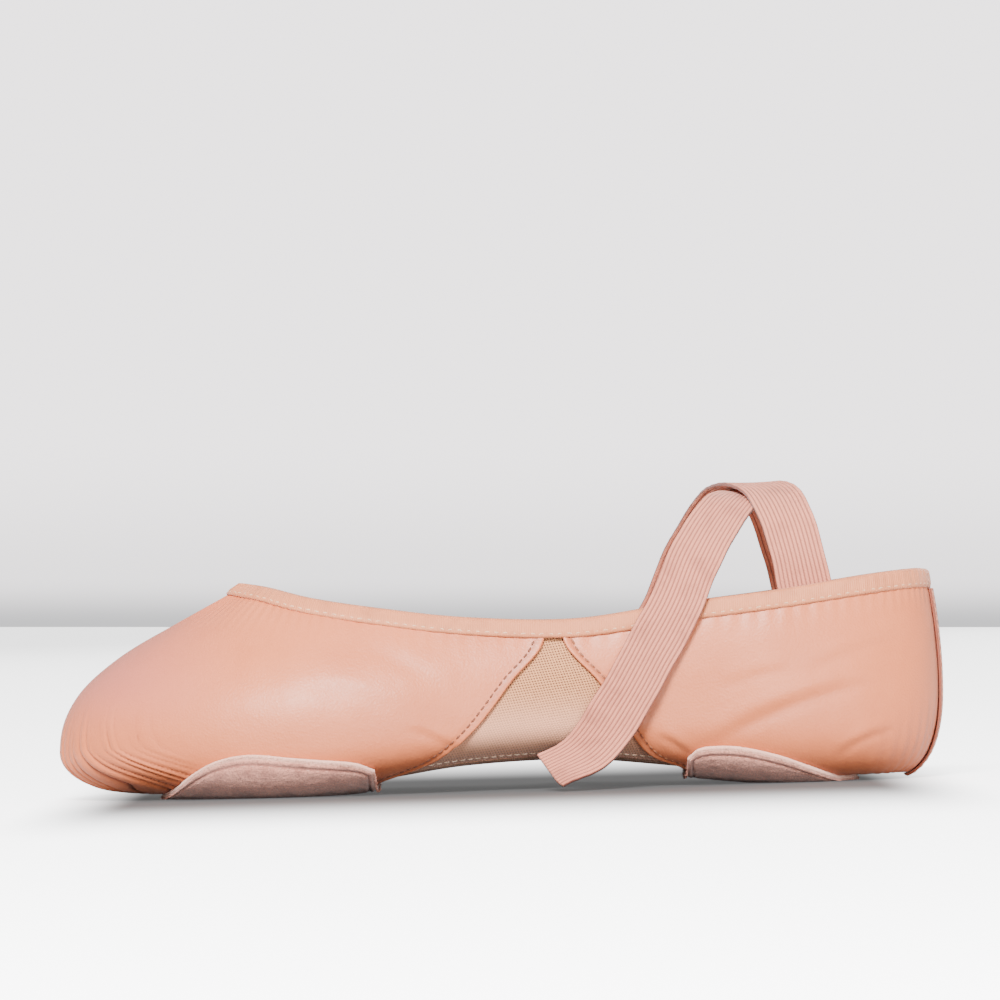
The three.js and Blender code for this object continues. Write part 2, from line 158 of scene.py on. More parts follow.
@dataclass(frozen=True)
class Section:
    """One section of the last: places are x, y, z from the toe tip, in millimetres."""

    spine: tuple[float, float]
    widest: tuple[float, float, float]
    topline: tuple[float, float, float]
    slope: tuple[float, float, float]
    rise: float
    fullness: float


SECTIONS = (
    Section((226, 0.6), (241.3, 0, 27), (238.6, 0, 56), (1.8, 0, -10), 9, 2.5),
    Section((224, 0.5), (236.2, 16, 24), (234.2, 12.4, 56.2), (1.4, 1.6, -11), 10, 2.7),
    Section((217, 0.4), (222, 25.8, 20), (221.5, 20.6, 54.9), (0.6, 3, -12), 11, 3),
    Section((198, 0.6), (198, 29.2, 18), (199, 25, 51.8), (0, 4, -12), 12, 3),
    Section((171, 3.4), (170, 28.8, 18), (171, 26.2, 48.8), (0, 3.6, -11), 12, 2.7),
    Section((142, 6.2), (141, 30.5, 19), (142, 26.5, 45.2), (0, 4, -10), 10, 2.4),
    Section((112, 5.4), (112, 34.5, 17.5), (112, 26.5, 46.4), (0, 6, -11), 11, 2.6),
    Section((87, 2.2), (88, 38.4, 15.5), (88, 25, 49.6), (-2, 8.5, -13), 13, 2.9),
    Section((66, 0.3), (64, 39.4, 15), (70, 20.5, 52.8), (-5, 10.5, -13), 15, 3.1),
    Section((44, 0.4), (40, 35.4, 15), (58.5, 12.5, 56), (-11, 10.5, -12), 17, 2.9),
    Section((30, 1.4), (19, 27.4, 14.5), (52.6, 6, 57.2), (-17, 7.5, -12.5), 20, 2.5),
    Section((23.5, 2), (5, 14.6, 14), (51, 2.7, 57.4), (-21, 3.6, -13.2), 21.5, 2.2),
    Section((22, 2.2), (0, 0, 14), (50.8, 0, 57.4), (-22.5, 0, -13.6), 22, 2.1),
)


@dataclass(frozen=True)
class Thickness:
    """Thicknesses of the materials and the clearances between them, in millimetres."""

    leather: float = 0.9
    lining: float = 0.5
    suede: float = 1.0
    padding: float = 1.8
    sock: float = 0.8
    tape: float = 0.5
    back_tape: float = 0.8
    strap: float = 1.1
    gap: float = 0.4
    fill_gap: float = 0.7
    edge_gap: float = 1.6
    sole_gap: float = 0.6
    strap_gap: float = 0.6
    crossing_gap: float = 1.1

    @property
    def floor(self) -> float:
        """Height of the upper where it is pressed flat on its pads."""
        return self.sole_gap + self.suede

    @property
    def under_leather(self) -> float:
        """Offset of the outer face of what lies just inside the leather."""
        return -self.leather - self.gap

    @property
    def padding_face(self) -> float:
        """Offset of the padding's outer face."""
        return self.under_leather - self.lining - self.fill_gap

    @property
    def sock_face(self) -> float:
        """Offset of the inner sole's lower face."""
        return self.padding_face - self.padding - self.gap


THICK = Thickness()


class Last:
    """The foot form that every layer is wrapped on.

    Around runs from 0 at the centre of the back, by one side, to 1 at the toe, and on to 2.
    Up runs from 0 on the spine of the sole to 1 at the topline, and is negative on the other side.
    """

    FEATHER = 0.5
    STEP = 0.002

    def __init__(self, sections: Sequence[Section]) -> None:
        """Lays one closed rail through each kind of point.

        Args:
            sections: Half sections from the centre of the back to the centre of the toe.
        """
        def shoulder(s: Section) -> tuple[float, float, float]:
            """Handle above the widest place."""
            return s.widest[0], s.widest[1], s.widest[2] + s.rise

        def neck(s: Section) -> tuple[float, ...]:
            """Handle below the topline."""
            return tuple(a + b for a, b in zip(s.topline, s.slope))

        self.spine = self._rail([(s.spine[0], 0, s.spine[1]) for s in sections])
        self.widest = self._rail([s.widest for s in sections])
        self.shoulder = self._rail([shoulder(s) for s in sections])
        self.neck = self._rail([neck(s) for s in sections])
        self.topline = self._rail([s.topline for s in sections])
        self.fullness = self._rail([(s.fullness + MIDDLE, 0, 0) for s in sections])

    @staticmethod
    def _rail(side: Sequence[Sequence[float]]) -> Array:
        """Points of a closed rail: one side and its mirror image, about the origin.

        Args:
            side: Points of one side, in order.

        Returns:
            The points, in order round the rail.
        """
        points = np.array(side, float)
        points = np.vstack([points, (points * (1, -1, 1))[-2:0:-1]])
        return points - (MIDDLE, 0, 0)

    @staticmethod
    def _on(rail: Array, around: Array) -> Array:
        """Points on a closed rail, on an even Catmull-Rom curve.

        Args:
            rail: The rail's points.
            around: Places round the slipper.

        Returns:
            The points on the curve.
        """
        place = (np.asarray(around) / 2 % 1) * len(rail)
        i = np.floor(place).astype(int)
        w = (place - i)[..., None]
        p0, p1, p2, p3 = (rail[(i + k) % len(rail)] for k in (-1, 0, 1, 2))
        start, end = (p2 - p0) / 2, (p3 - p1) / 2
        return p1 + w * (start + w * (3 * (p2 - p1) - 2 * start - end + w * (2 * (p1 - p2) + start + end)))

    def point(self, around: Array, up: Array) -> Array:
        """Points of the outer face of the upper.

        Args:
            around: Place round the slipper.
            up: Height share.

        Returns:
            Places in millimetres about the origin.
        """
        around, up = np.broadcast_arrays(np.asarray(around, float), np.asarray(up, float))
        side, up = np.where(up < 0, -1.0, 1.0), np.abs(up)
        spine, widest = self._on(self.spine, around), self._on(self.widest, around)
        power = self._on(self.fullness, around)[..., 0]
        angle = np.clip(up / self.FEATHER, 0, 1) * (math.pi / 2)
        sine, cosine = np.sin(angle), np.maximum(np.cos(angle), 0)
        radius = (sine**power + cosine**power) ** (-1 / power)
        out, down = radius * sine, radius * cosine
        low = mix(spine, widest, out[..., None])
        low[..., 2] = mix(widest[..., 2], spine[..., 2], down)
        t = np.clip((up - self.FEATHER) / (1 - self.FEATHER), 0, 1)[..., None]
        shoulder, neck = self._on(self.shoulder, around), self._on(self.neck, around)
        topline = self._on(self.topline, around)
        wall = widest * (1 - t) ** 3 + 3 * shoulder * t * (1 - t) ** 2
        wall = wall + 3 * neck * t**2 * (1 - t) + topline * t**3
        place = np.where((up < self.FEATHER)[..., None], low, wall)
        place[..., 1] *= side
        return place

    def normal(self, around: Array, up: Array) -> Array:
        """Outward directions of the upper, for the same places as point.

        Args:
            around: Places round the slipper.
            up: Height shares.

        Returns:
            Unit directions.
        """
        around, up = np.broadcast_arrays(np.asarray(around, float), np.asarray(up, float))
        pole = (np.abs(np.sin(math.pi * around)) < self.STEP) & (np.abs(up) < 2 * self.STEP)
        up = np.where(pole, 2 * self.STEP, up)
        side, up = np.where(up < 0, -1.0, 1.0), np.abs(up)
        top = np.minimum(up + self.STEP, 1)
        along = self.point(around + self.STEP, up) - self.point(around - self.STEP, up)
        across = self.point(around, top) - self.point(around, np.maximum(top - 2 * self.STEP, 0))
        out = unit(np.cross(along, across))
        out[..., 1] *= side
        return out

    def layer(self, around: Array, up: Array, offset: Array | float) -> Array:
        """Points of the layer an offset outside the upper, pressed flat over the floor.

        Args:
            around: Places round the slipper.
            up: Height shares.
            offset: Distance outside the upper, in millimetres.

        Returns:
            The points, in millimetres.
        """
        offset = np.asarray(offset, float)
        place = self.point(around, up) + self.normal(around, up) * offset[..., None]
        place[..., 2] = np.maximum(place[..., 2], THICK.floor - offset)
        return place

    def around_at(self, x: Array, up: Array) -> Array:
        """Place round the upper at a distance x from the toe.

        Args:
            x: Distances from the toe, in millimetres.
            up: Height shares.

        Returns:
            The places.
        """
        x, up = np.broadcast_arrays(np.asarray(x, float), np.abs(np.asarray(up, float)))
        zero = np.zeros(x.shape)
        return falling_root(lambda a: self.point(a, up)[..., 0] - (x - MIDDLE), zero, zero + 1)

    def around_edge(self, edge: Knots, shift: float, up: Array) -> Array:
        """Place round the upper where a seam edge, moved along by shift, crosses a height share.

        Args:
            edge: Heights of the edge, each with its distance from the toe.
            shift: How far the edge is moved toward the heel, in millimetres.
            up: Height shares.

        Returns:
            The places.
        """
        up = np.abs(np.asarray(up, float))
        zero = np.zeros(up.shape)

        def beyond(around: Array) -> Array:
            """How far past the shifted edge a place is, in millimetres."""
            place = self.point(around, up)
            return place[..., 0] + MIDDLE - between(edge, np.maximum(place[..., 2], THICK.floor)) - shift

        return falling_root(beyond, zero, zero + 1)

    def up_at_girth(self, x: Array, girth: Array) -> Array:
        """Height share that lies a distance round the sole from the spine, in the section at x.

        Args:
            x: Distances from the toe, in millimetres.
            girth: Distances round the sole from the spine, in millimetres.

        Returns:
            The height shares.
        """
        ups = np.linspace(0, 1, 81)
        grid = np.broadcast_to(ups, (len(x), len(ups)))
        places = self.point(self.around_at(x[:, None], grid), grid)
        return np.array([np.interp(g, run, ups) for g, run in zip(girth, run_along(places, 1))])

    def below_topline(self, around: Array, down: float, offset: Array | float) -> Array:
        """Points a distance down the wall from the topline, or above it where down is negative.

        Args:
            around: Places round the slipper.
            down: Distance down the wall, in millimetres.
            offset: Distance outside the upper, in millimetres.

        Returns:
            The points, in millimetres.
        """
        around = np.asarray(around, float)
        rim = self.point(around, np.ones(around.shape))
        if down <= 0:
            slope = unit(self.point(around, np.full(around.shape, 0.99)) - rim)
            return self.layer(around, np.ones(around.shape), offset) + slope * down
        return self.layer(around, self.up_below(around, down), offset)

    def up_below(self, around: Array, down: Array | float) -> Array:
        """Height share a distance down the wall from the topline.

        Args:
            around: Places round the slipper.
            down: Distance down the wall, in millimetres.

        Returns:
            The height shares.
        """
        around = np.asarray(around, float)
        rim = self.point(around, np.ones(around.shape))
        low = np.full(around.shape, 0.7)

        def short(up: Array) -> Array:
            """How much further than the wanted distance a height share is."""
            return np.linalg.norm(self.point(around, up) - rim, axis=-1) - down

        return falling_root(short, low, low * 0 + 1)


LAST = Last(SECTIONS)

# Cut edges of the leather at the mesh arch, as height and distance from the toe
VAMP_EDGE = (
    (0, 86.5), (3, 86.8), (6, 95.2), (9, 102.8), (15, 111),
    (21, 116.6), (30, 123.6), (39, 131.6), (50, 133.6),
)
QUARTER_EDGE = ((0, 171.6), (4.4, 171.2), (8.3, 162.3), (14, 157.2), (28.7, 148.5), (39, 139.8), (50, 138.2))
# Cut outlines of the pads: distance from the toe and half width, measured round the sole
FOREFOOT_PAD = (
    (28.4, 9), (30, 17), (32.4, 24), (36, 31.4), (41, 37), (47, 40.8),
    (54, 43), (62, 43.2), (72, 42), (82, 39.4), (86.6, 36),
)
HEEL_PAD = (
    (171.4, 25.5), (174, 28.6), (180, 30.2), (187, 30.5), (196, 28.8),
    (204, 24.6), (210, 19.4), (214.4, 13.6), (217, 8.6), (218, 5),
)


def operator(operation: str, reflected: bool = False) -> Callable[["Value", "Value | float"], "Value"]:
    """Arithmetic method of Value that lays one Math node.

    Args:
        operation: The Math node's operation.
        reflected: True where the other number comes first.

    Returns:
        The method.
    """
    def run(value: "Value", other: "Value | float") -> "Value":
        """Adds the step, with the two values in their order.

        Args:
            value: The value on the left.
            other: The value on the right.

        Returns:
            The result.
        """
        pair = (other, value) if reflected else (value, other)
        node = value.shade.node("ShaderNodeMath", {"operation": operation}, dict(enumerate(pair)))
        return Value(value.shade, node.outputs[0])

    return run


class Value:
    """A number in a node tree, so that its maths reads as plain expressions."""

    def __init__(self, shade: "Tree", socket: bpy.types.NodeSocket) -> None:
        """Wraps an output socket of a tree."""
        self.shade = shade
        self.socket = socket

    def maths(self, operation: str, *others: "Value | float") -> "Value":
        """One Math node of this number and others.

        Args:
            operation: The node's operation.
            others: Its other numbers.

        Returns:
            The result.
        """
        numbers = dict(enumerate((self, *others)))
        node = self.shade.node("ShaderNodeMath", {"operation": operation}, numbers)
        return Value(self.shade, node.outputs[0])

    __add__ = operator("ADD")
    __radd__ = operator("ADD", reflected=True)
    __sub__ = operator("SUBTRACT")
    __rsub__ = operator("SUBTRACT", reflected=True)
    __mul__ = operator("MULTIPLY")
    __rmul__ = operator("MULTIPLY", reflected=True)
    __truediv__ = operator("DIVIDE")

    def cosine(self) -> "Value":
        """Cosine."""
        return self.maths("COSINE")

    def step(self, low: float, high: float) -> "Value":
        """Smooth step from 0 at low to 1 at high.

        Args:
            low: Where the step starts.
            high: Where it ends.

        Returns:
            The step.
        """
        node = self.shade.node("ShaderNodeMapRange", {"interpolation_type": "SMOOTHSTEP"}, {
            "Value": self, "From Min": low, "From Max": high, "To Min": 0.0, "To Max": 1.0,
        })
        return Value(self.shade, node.outputs["Result"])


Colour = tuple[float, float, float]
Plug = Value | bpy.types.NodeSocket | float | Colour


def srgb(red: int, green: int, blue: int) -> Colour:
    """Linear colour of an everyday 0 to 255 colour.

    Args:
        red: Its red.
        green: Its green.
        blue: Its blue.

    Returns:
        The linear colour.
    """
    def line(c: float) -> float:
        """One channel, without its display curve."""
        return c / 12.92 if c <= 0.04045 else ((c + 0.055) / 1.055) ** 2.4

    return line(red / 255), line(green / 255), line(blue / 255)


class Tree:
    """Writes a node tree, of a material or of Geometry Nodes."""

    def __init__(self, tree: bpy.types.NodeTree) -> None:
        """Starts writing.

        Args:
            tree: The tree, with no nodes.
        """
        self.tree = tree

    def node(self, kind: str, settings: dict | None = None, sockets: dict | None = None) -> bpy.types.Node:
        """Adds a node: its settings first, then the values or links of its sockets.

        Args:
            kind: The node's type.
            settings: Attribute values.
            sockets: Input name or number to a number, colour, vector or socket.

        Returns:
            The node.
        """
        made = self.tree.nodes.new(kind)
        for key, value in (settings or {}).items():
            setattr(made, key, value)
        for key, value in (sockets or {}).items():
            self.plug(made.inputs[key], value)
        return made

    def plug(self, socket: bpy.types.NodeSocket, value: Plug) -> None:
        """Links or sets one input socket.

        Args:
            socket: The input.
            value: A number, a colour, a socket or a value of the tree.
        """
        if isinstance(value, Value):
            value = value.socket
        if isinstance(value, bpy.types.NodeSocket):
            self.tree.links.new(value, socket)
        elif isinstance(value, tuple) and len(socket.default_value) == 4:
            socket.default_value = (*value, 1.0)
        else:
            socket.default_value = value


class Shade(Tree):
    """Writes one material's node tree."""

    def __init__(self, name: str) -> None:
        """Starts an empty material.

        Args:
            name: The finish's name.
        """
        self.material = bpy.data.materials.new(name)
        self.material.use_nodes = True
        super().__init__(self.material.node_tree)
        self.tree.nodes.clear()
        self._object: bpy.types.NodeSocket | None = None

    @property
    def place(self) -> bpy.types.NodeSocket:
        """Object coordinates, in metres.

        Returns:
            Their socket.
        """
        if self._object is None:
            self._object = self.node("ShaderNodeTexCoord").outputs["Object"]
        return self._object

    def axis(self, name: str) -> Value:
        """One Object coordinate, in millimetres."""
        node = self.node("ShaderNodeSeparateXYZ", sockets={0: self.place})
        return Value(self, node.outputs[name]) * (1 / MM)

    def attribute(self, name: str) -> Value:
        """A number stored on the piece's mesh."""
        node = self.node("ShaderNodeAttribute", {"attribute_name": name})
        return Value(self, node.outputs["Fac"])

    def noise(self, size: float, detail: float = 2, stretch: Colour = (1, 1, 1)) -> Value:
        """Noise between 0 and 1 on Object coordinates.

        Args:
            size: Millimetres from one hump to the next.
            detail: Finer layers on top.
            stretch: How much finer the pattern is along each axis.

        Returns:
            The noise's value.
        """
        mapped = self.node("ShaderNodeMapping", sockets={"Vector": self.place, "Scale": stretch})
        node = self.node("ShaderNodeTexNoise", {"noise_dimensions": "3D"}, {
            "Vector": mapped.outputs[0], "Scale": 1 / (size * MM), "Detail": detail, "Roughness": 0.55,
        })
        return Value(self, node.outputs["Fac"])

    def cells(self, size: float) -> Value:
        """Distance from the nearest grain centre, for grains of a size in millimetres.

        Args:
            size: The size of a grain.

        Returns:
            The distance.
        """
        node = self.node("ShaderNodeTexVoronoi", {"feature": "F1"}, {
            "Vector": self.place, "Scale": 1 / (size * MM),
        })
        return Value(self, node.outputs["Distance"])

    def blend(self, a: Plug, b: Plug, share: Plug) -> bpy.types.NodeSocket:
        """Mix of two colours.

        Args:
            a: The colour at 0.
            b: The colour at 1.
            share: How much of the second shows.

        Returns:
            The mixed colour.
        """
        node = self.node("ShaderNodeMix", {"data_type": "RGBA", "clamp_factor": True})
        self.plug(node.inputs["Factor"], share)
        self.plug(node.inputs[6], a)
        self.plug(node.inputs[7], b)
        return node.outputs[2]

    def seen(self) -> Value:
        """One where the camera looks straight at the surface, and zero for light that bounces."""
        return Value(self, self.node("ShaderNodeLightPath").outputs["Is Camera Ray"])

    def layered(self, colour: Plug, *layers: tuple[Plug, Plug]) -> Plug:
        """Colours laid over one another, each with its share.

        Args:
            colour: The ground colour.
            layers: Each colour, with how much of it shows.

        Returns:
            The colour on top.
        """
        for tone, share in layers:
            colour = self.blend(colour, tone, share)
        return colour

    def finish(
        self, colour: Plug, roughness: Plug, height: Value | None = None, depth: float = 0.1,
        **constant: float | Colour,
    ) -> bpy.types.Material:
        """Closes the tree with its shader.

        Args:
            colour: Base colour.
            roughness: Roughness.
            height: Relief, where 1 is one depth above 0.
            depth: Millimetres of relief.
            constant: Other inputs of the shader, with _ for a space.

        Returns:
            The finished material.
        """
        shader = self.node("ShaderNodeBsdfPrincipled", sockets={"Base Color": colour, "Roughness": roughness})
        for name, value in constant.items():
            self.plug(shader.inputs[name.replace("_", " ")], value)
        if height is not None:
            sockets = {"Height": height, "Distance": depth * MM, "Strength": 1.0}
            bump = self.node("ShaderNodeBump", sockets=sockets)
            self.plug(shader.inputs["Normal"], bump.outputs[0])
        out = self.node("ShaderNodeOutputMaterial")
        self.tree.links.new(shader.outputs[0], out.inputs["Surface"])
        return self.material


@dataclass(frozen=True)
class Leather:
    """Soft glove leather with a fine speckled grain, painted shade in its folds and a painted reflection on
    the toe.
    """

    name: str = "glove_leather"
    tone: Colour = srgb(208, 116, 74)
    warm: Colour = srgb(198, 106, 64)
    toe_top_reflection: Colour = srgb(190, 106, 92)
    speckle_and_crease_shade: Colour = srgb(96, 36, 18)
    grain: float = 0.62

    def material(self) -> bpy.types.Material:
        """Builds the material.

        Returns:
            The material.
        """
        s = Shade(self.name)
        low = 1 - s.axis("Z").step(4, 26)
        # Painted reflection: a cool lilac tint on the top of the toe, towards its tip.
        front = (1 - s.axis("X").step(-110, -62)) * s.axis("Z").step(14, 34)
        speckle = s.noise(self.grain * 0.8, 2)
        colour = s.layered(
            self.tone,
            (self.warm, s.noise(22, 3).step(0.35, 0.68) * 0.55),
            (self.warm, low * 0.7),
            (self.toe_top_reflection, front * 0.8),
            (self.speckle_and_crease_shade, speckle.step(0.56, 0.8) * 0.1),
            (self.speckle_and_crease_shade, s.noise(7, 5).step(0.62, 0.8) * low * 0.12),
            # Painted shade: an attribute darkens creases, pleat valleys, stitch dips and the back strip's
            # edges.
            (self.speckle_and_crease_shade, s.attribute("fold")),
        )
        roughness = 0.22 + speckle * 0.34 + s.noise(9, 2) * 0.12 + low * 0.1
        relief = s.cells(self.grain) * 0.6 + speckle * 0.35 + s.noise(2.4, 3) * 0.9
        return s.finish(colour, roughness, relief, 0.085, Specular_IOR_Level=0.34, Coat_Weight=0.07,
                        Coat_Roughness=0.26, Sheen_Weight=0.08, Sheen_Roughness=0.5)


@dataclass(frozen=True)
class Suede:
    """Napped split leather of the sole pads, paler at its cut edge, with painted shade in its stitch ditch.
    """

    tone: Colour = srgb(216, 144, 122)
    dark: Colour = srgb(140, 78, 64)
    edge: Colour = srgb(236, 184, 160)

    def material(self) -> bpy.types.Material:
        """Builds the material.

        Returns:
            The material.
        """
        s = Shade("suede")
        nap = s.noise(0.5, 4, (1, 1.4, 1))
        colour = s.layered(
            self.tone,
            (self.dark, nap.step(0.4, 0.66) * 0.6),
            (self.dark, s.noise(6, 4, (1, 0.5, 1)).step(0.48, 0.72) * 0.6),
            (self.edge, s.attribute("edge")),
            # Painted shade: an attribute darkens the ditch of the stitch row.
            (self.dark, s.attribute("fold")),
        )
        relief = nap + s.noise(1.4, 3) * 0.8
        return s.finish(colour, 0.9 + nap * 0.08, relief, 0.22, Sheen_Weight=0.35, Sheen_Roughness=0.6)


@dataclass(frozen=True)
class Knit:
    """Stretch mesh: rows of tiny holes on a diagonal, fading to a closed knit lower down."""

    tone: Colour = srgb(212, 146, 98)
    pink: Colour = srgb(226, 162, 134)
    hole_and_hem_shade: Colour = srgb(92, 46, 24)
    pitch: float = 0.93

    def material(self) -> bpy.types.Material:
        """Builds the material.

        Returns:
            The material.
        """
        s = Shade("stretch_mesh")
        turn = 2 * math.pi / self.pitch
        along, across = s.attribute("along") * turn, s.attribute("across") * turn
        open_part = s.attribute("open")
        weave = along.cosine() * (across * 0.8).cosine() + s.noise(0.9, 2) * 0.6
        holes = (weave - 0.3).step(0.05, 0.6) * open_part
        loops = (along * 2).cosine() * 0.25
        yarn = s.noise(0.22, 2)
        colour = s.layered(
            self.pink,
            (self.tone, open_part),
            (self.hole_and_hem_shade, yarn.step(0.5, 0.8) * 0.22),
            (self.hole_and_hem_shade, holes * 0.9),
            # Painted shade: an attribute darkens the dip above the turned hem.
            (self.hole_and_hem_shade, s.attribute("fold")),
        )
        relief = 0.6 - holes * 0.9 + loops + yarn * 0.35
        return s.finish(colour, 0.84, relief, 0.16, Sheen_Weight=0.2, Sheen_Roughness=0.5)


@dataclass(frozen=True)
class Web:
    """Ribbed tape or elastic: ribs run along it, and fine weft threads cross it."""

    name: str
    tone: Colour
    dark: Colour
    weft: float = 0.42
    shine: float = 0.55

    def material(self) -> bpy.types.Material:
        """Builds the material.

        Returns:
            The material.
        """
        s = Shade(self.name)
        weft = (s.attribute("along") * (2 * math.pi / self.weft)).cosine() * 0.5 + 0.5
        yarn = s.noise(0.3, 3)
        colour = s.layered(
            self.tone,
            (self.dark, s.noise(8, 2).step(0.45, 0.75) * 0.25),
            (self.dark, (1 - weft) * 0.16),
            (self.dark, yarn.step(0.5, 0.8) * 0.3),
            # Painted shade: an attribute darkens the rib grooves of the elastic and the lower edge of the
            # binding.
            (self.dark, s.attribute("fold")),
        )
        relief = weft * 0.7 + yarn * 0.5
        sheen = {"Sheen_Weight": 0.25, "Sheen_Roughness": 0.45}
        return s.finish(colour, self.shine + yarn * 0.2, relief, 0.09, **sheen)


@dataclass(frozen=True)
class Cloth:
    """Plain woven or felted stuff inside the slipper."""

    name: str
    tone: Colour
    dark: Colour
    thread: float = 0.5

    def material(self) -> bpy.types.Material:
        """Builds the material.

        Returns:
            The material.
        """
        s = Shade(self.name)
        turn = 2 * math.pi / self.thread
        weave = (s.axis("X") * turn).cosine() * (s.axis("Y") * turn + s.axis("Z") * turn).cosine()
        fluff = s.noise(self.thread, 4)
        colour = s.layered(
            self.tone,
            (self.dark, (weave * 0.5 + 0.5) * 0.18),
            (self.dark, fluff.step(0.45, 0.75) * 0.35),
            (self.dark, s.noise(18, 3).step(0.4, 0.8) * 0.3),
        )
        return s.finish(colour, 0.92, weave * 0.3 + fluff, 0.12, Sheen_Weight=0.2)


@dataclass(frozen=True)
class Thread:
    """Twisted sewing thread."""

    name: str
    tone: Colour
    dark: Colour

    def material(self) -> bpy.types.Material:
        """Builds the material.

        Returns:
            The material.
        """
        s = Shade(self.name)
        twist = s.noise(0.25, 2)
        colour = s.blend(self.tone, self.dark, twist.step(0.4, 0.7) * 0.6)
        return s.finish(colour, 0.6, twist, 0.05, Sheen_Weight=0.2)


@dataclass
class Grid:
    """Faces and stored numbers of a surface that is being made, in millimetres."""

    points: Array
    faces: Array
    numbers: dict[str, Array] = field(default_factory=dict)

    def welded(self) -> Self:
        """The same surface with matching points joined and empty faces dropped.

        Returns:
            The joined surface.
        """
        keys = np.round(self.points, 4)
        _, first, index = np.unique(keys, axis=0, return_index=True, return_inverse=True)
        index = index.reshape(-1)
        numbers = {name: values[first] for name, values in self.numbers.items()}
        return type(self)(self.points[first], index[self.faces], numbers)

    def volume(self) -> float:
        """Signed volume inside the faces.

        Returns:
            The volume, in cubic millimetres.
        """
        a, b, c, d = (self.points[self.faces[:, k]] for k in range(4))
        halves = np.einsum("ij,ij->i", a, np.cross(b, c)) + np.einsum("ij,ij->i", a, np.cross(c, d))
        return float(halves.sum()) / 6

    def area(self) -> float:
        """Area of all faces, in square millimetres.

        Returns:
            The area.
        """
        a, b, c, d = (self.points[self.faces[:, k]] for k in range(4))
        return float((np.linalg.norm(np.cross(b - a, c - a), axis=1)
                      + np.linalg.norm(np.cross(c - a, d - a), axis=1)).sum()) / 2

    def piece(self, name: str, material: bpy.types.Material) -> bpy.types.Object:
        """Makes the surface an object.

        Args:
            name: The piece's name.
            material: Its finish.

        Returns:
            The object, at the origin.
        """
        made = self.welded()
        faces = made.faces if made.volume() > 0 else made.faces[:, ::-1]
        lists = []
        for face in faces.tolist():
            kept = [v for k, v in enumerate(face) if v != face[k - 1]]
            if len(set(kept)) == len(kept) > 2:
                lists.append(kept)
        mesh = bpy.data.meshes.new(name)
        mesh.from_pydata((made.points * MM).tolist(), [], lists)
        for key, values in made.numbers.items():
            mesh.attributes.new(key, "FLOAT", "POINT").data.foreach_set("value", values.astype(np.float32))
        mesh.polygons.foreach_set("use_smooth", [True] * len(mesh.polygons))
        mesh.materials.append(material)
        mesh.update()
        thing = bpy.data.objects.new(name, mesh)
        bpy.context.scene.collection.objects.link(thing)
        log.info("%s: %d points, %d faces", name, len(mesh.vertices), len(mesh.polygons))
        return thing


def strip_faces(rows: int, columns: int, loop_rows: bool = False, loop_columns: bool = False) -> Array:
    """Quads of a rows by columns grid of points, closed on itself either way if asked.

    Args:
        rows: Points one way.
        columns: Points the other way.
        loop_rows: True to join the last row to the first.
        loop_columns: True to join the last column to the first.

    Returns:
        Four point numbers for each quad.
    """
    i = np.arange(rows if loop_rows else rows - 1)[:, None]
    j = np.arange(columns if loop_columns else columns - 1)[None, :]
    ni, nj = (i + 1) % rows, (j + 1) % columns
    quads = (i * columns + j, i * columns + nj, ni * columns + nj, ni * columns + j)
    return np.stack(np.broadcast_arrays(*quads), -1).reshape(-1, 4)


# Turns of a rim's half round, and of the quarter round that closes a shell's ends
ROUND = np.radians([36.0, 72.0, 108.0, 144.0])
END_TURNS = np.radians([90, 60, 30])


def rounded_shell(outer: Array, inner: Array, numbers: dict[str, Array] | None = None,
                  foot_rim: bool = True, bulge: float = 1.0) -> Grid:
    """Closed shell between two faces, with half round rims.

    Args:
        outer: Points of the outer face, rows by columns.
        inner: Matching points of the inner face.
        numbers: Values to store, for each point of the grid; the inner face takes the same ones.
        foot_rim: False where the first column is a seam that closes on its own mirror image.
        bulge: Roundness of the rims.

    Returns:
        The shell.
    """
    def rim(a: Array, b: Array, out: Array) -> list[Array]:
        """Half round from one face's edge to the other's, standing outward.

        Args:
            a: Edge points of the first face.
            b: Edge points of the second.
            out: Directions away from the shell.

        Returns:
            Lines of points, from the first face to the second.
        """
        middle, half = (a + b) / 2, (a - b) / 2
        reach = out * (np.linalg.norm(half, axis=-1, keepdims=True) * bulge)
        return [middle + half * math.cos(t) + reach * math.sin(t) for t in ROUND]

    def wrapped(values: Array) -> Array:
        """Values of the face, carried round the rims and along the inner face.

        Args:
            values: Values at the points of a face.

        Returns:
            Values all round the shell.
        """
        parts = [values, np.repeat(values[:, -1:], len(ROUND), 1), values[:, ::-1]]
        if foot_rim:
            parts.append(np.repeat(values[:, :1], len(ROUND), 1))
        return np.concatenate(parts, axis=1)

    head = rim(outer[:, -1], inner[:, -1], unit(outer[:, -1] - outer[:, -2]))
    columns = [outer, np.stack(head, 1), inner[:, ::-1]]
    if foot_rim:
        foot = rim(inner[:, 0], outer[:, 0], unit(outer[:, 0] - outer[:, 1]))
        columns.append(np.stack(foot, 1))
    loops = np.concatenate(columns, axis=1)
    middle = wrapped((outer + inner) / 2)

    def cap(end: int, inward: int) -> list[Array]:
        """Quarter round that closes one end.

        Args:
            end: The end row.
            inward: The row next to it.

        Returns:
            Rows, from the tip inward.
        """
        half = loops[end] - middle[end]
        reach = np.linalg.norm(half, axis=-1, keepdims=True) * unit(middle[end] - middle[inward]) * bulge
        return [middle[end] + half * math.cos(t) + reach * math.sin(t) for t in END_TURNS]

    rows = np.array([*cap(0, 1), *loops, *cap(-1, -2)[::-1]])
    ends = len(END_TURNS)
    stored = {}
    for key, values in (numbers or {}).items():
        wide = wrapped(values)
        first, last = np.repeat(wide[:1], ends, 0), np.repeat(wide[-1:], ends, 0)
        stored[key] = np.concatenate([first, wide, last]).ravel()
    faces = strip_faces(rows.shape[0], rows.shape[1], loop_columns=foot_rim)
    return Grid(rows.reshape(-1, 3), faces, stored)


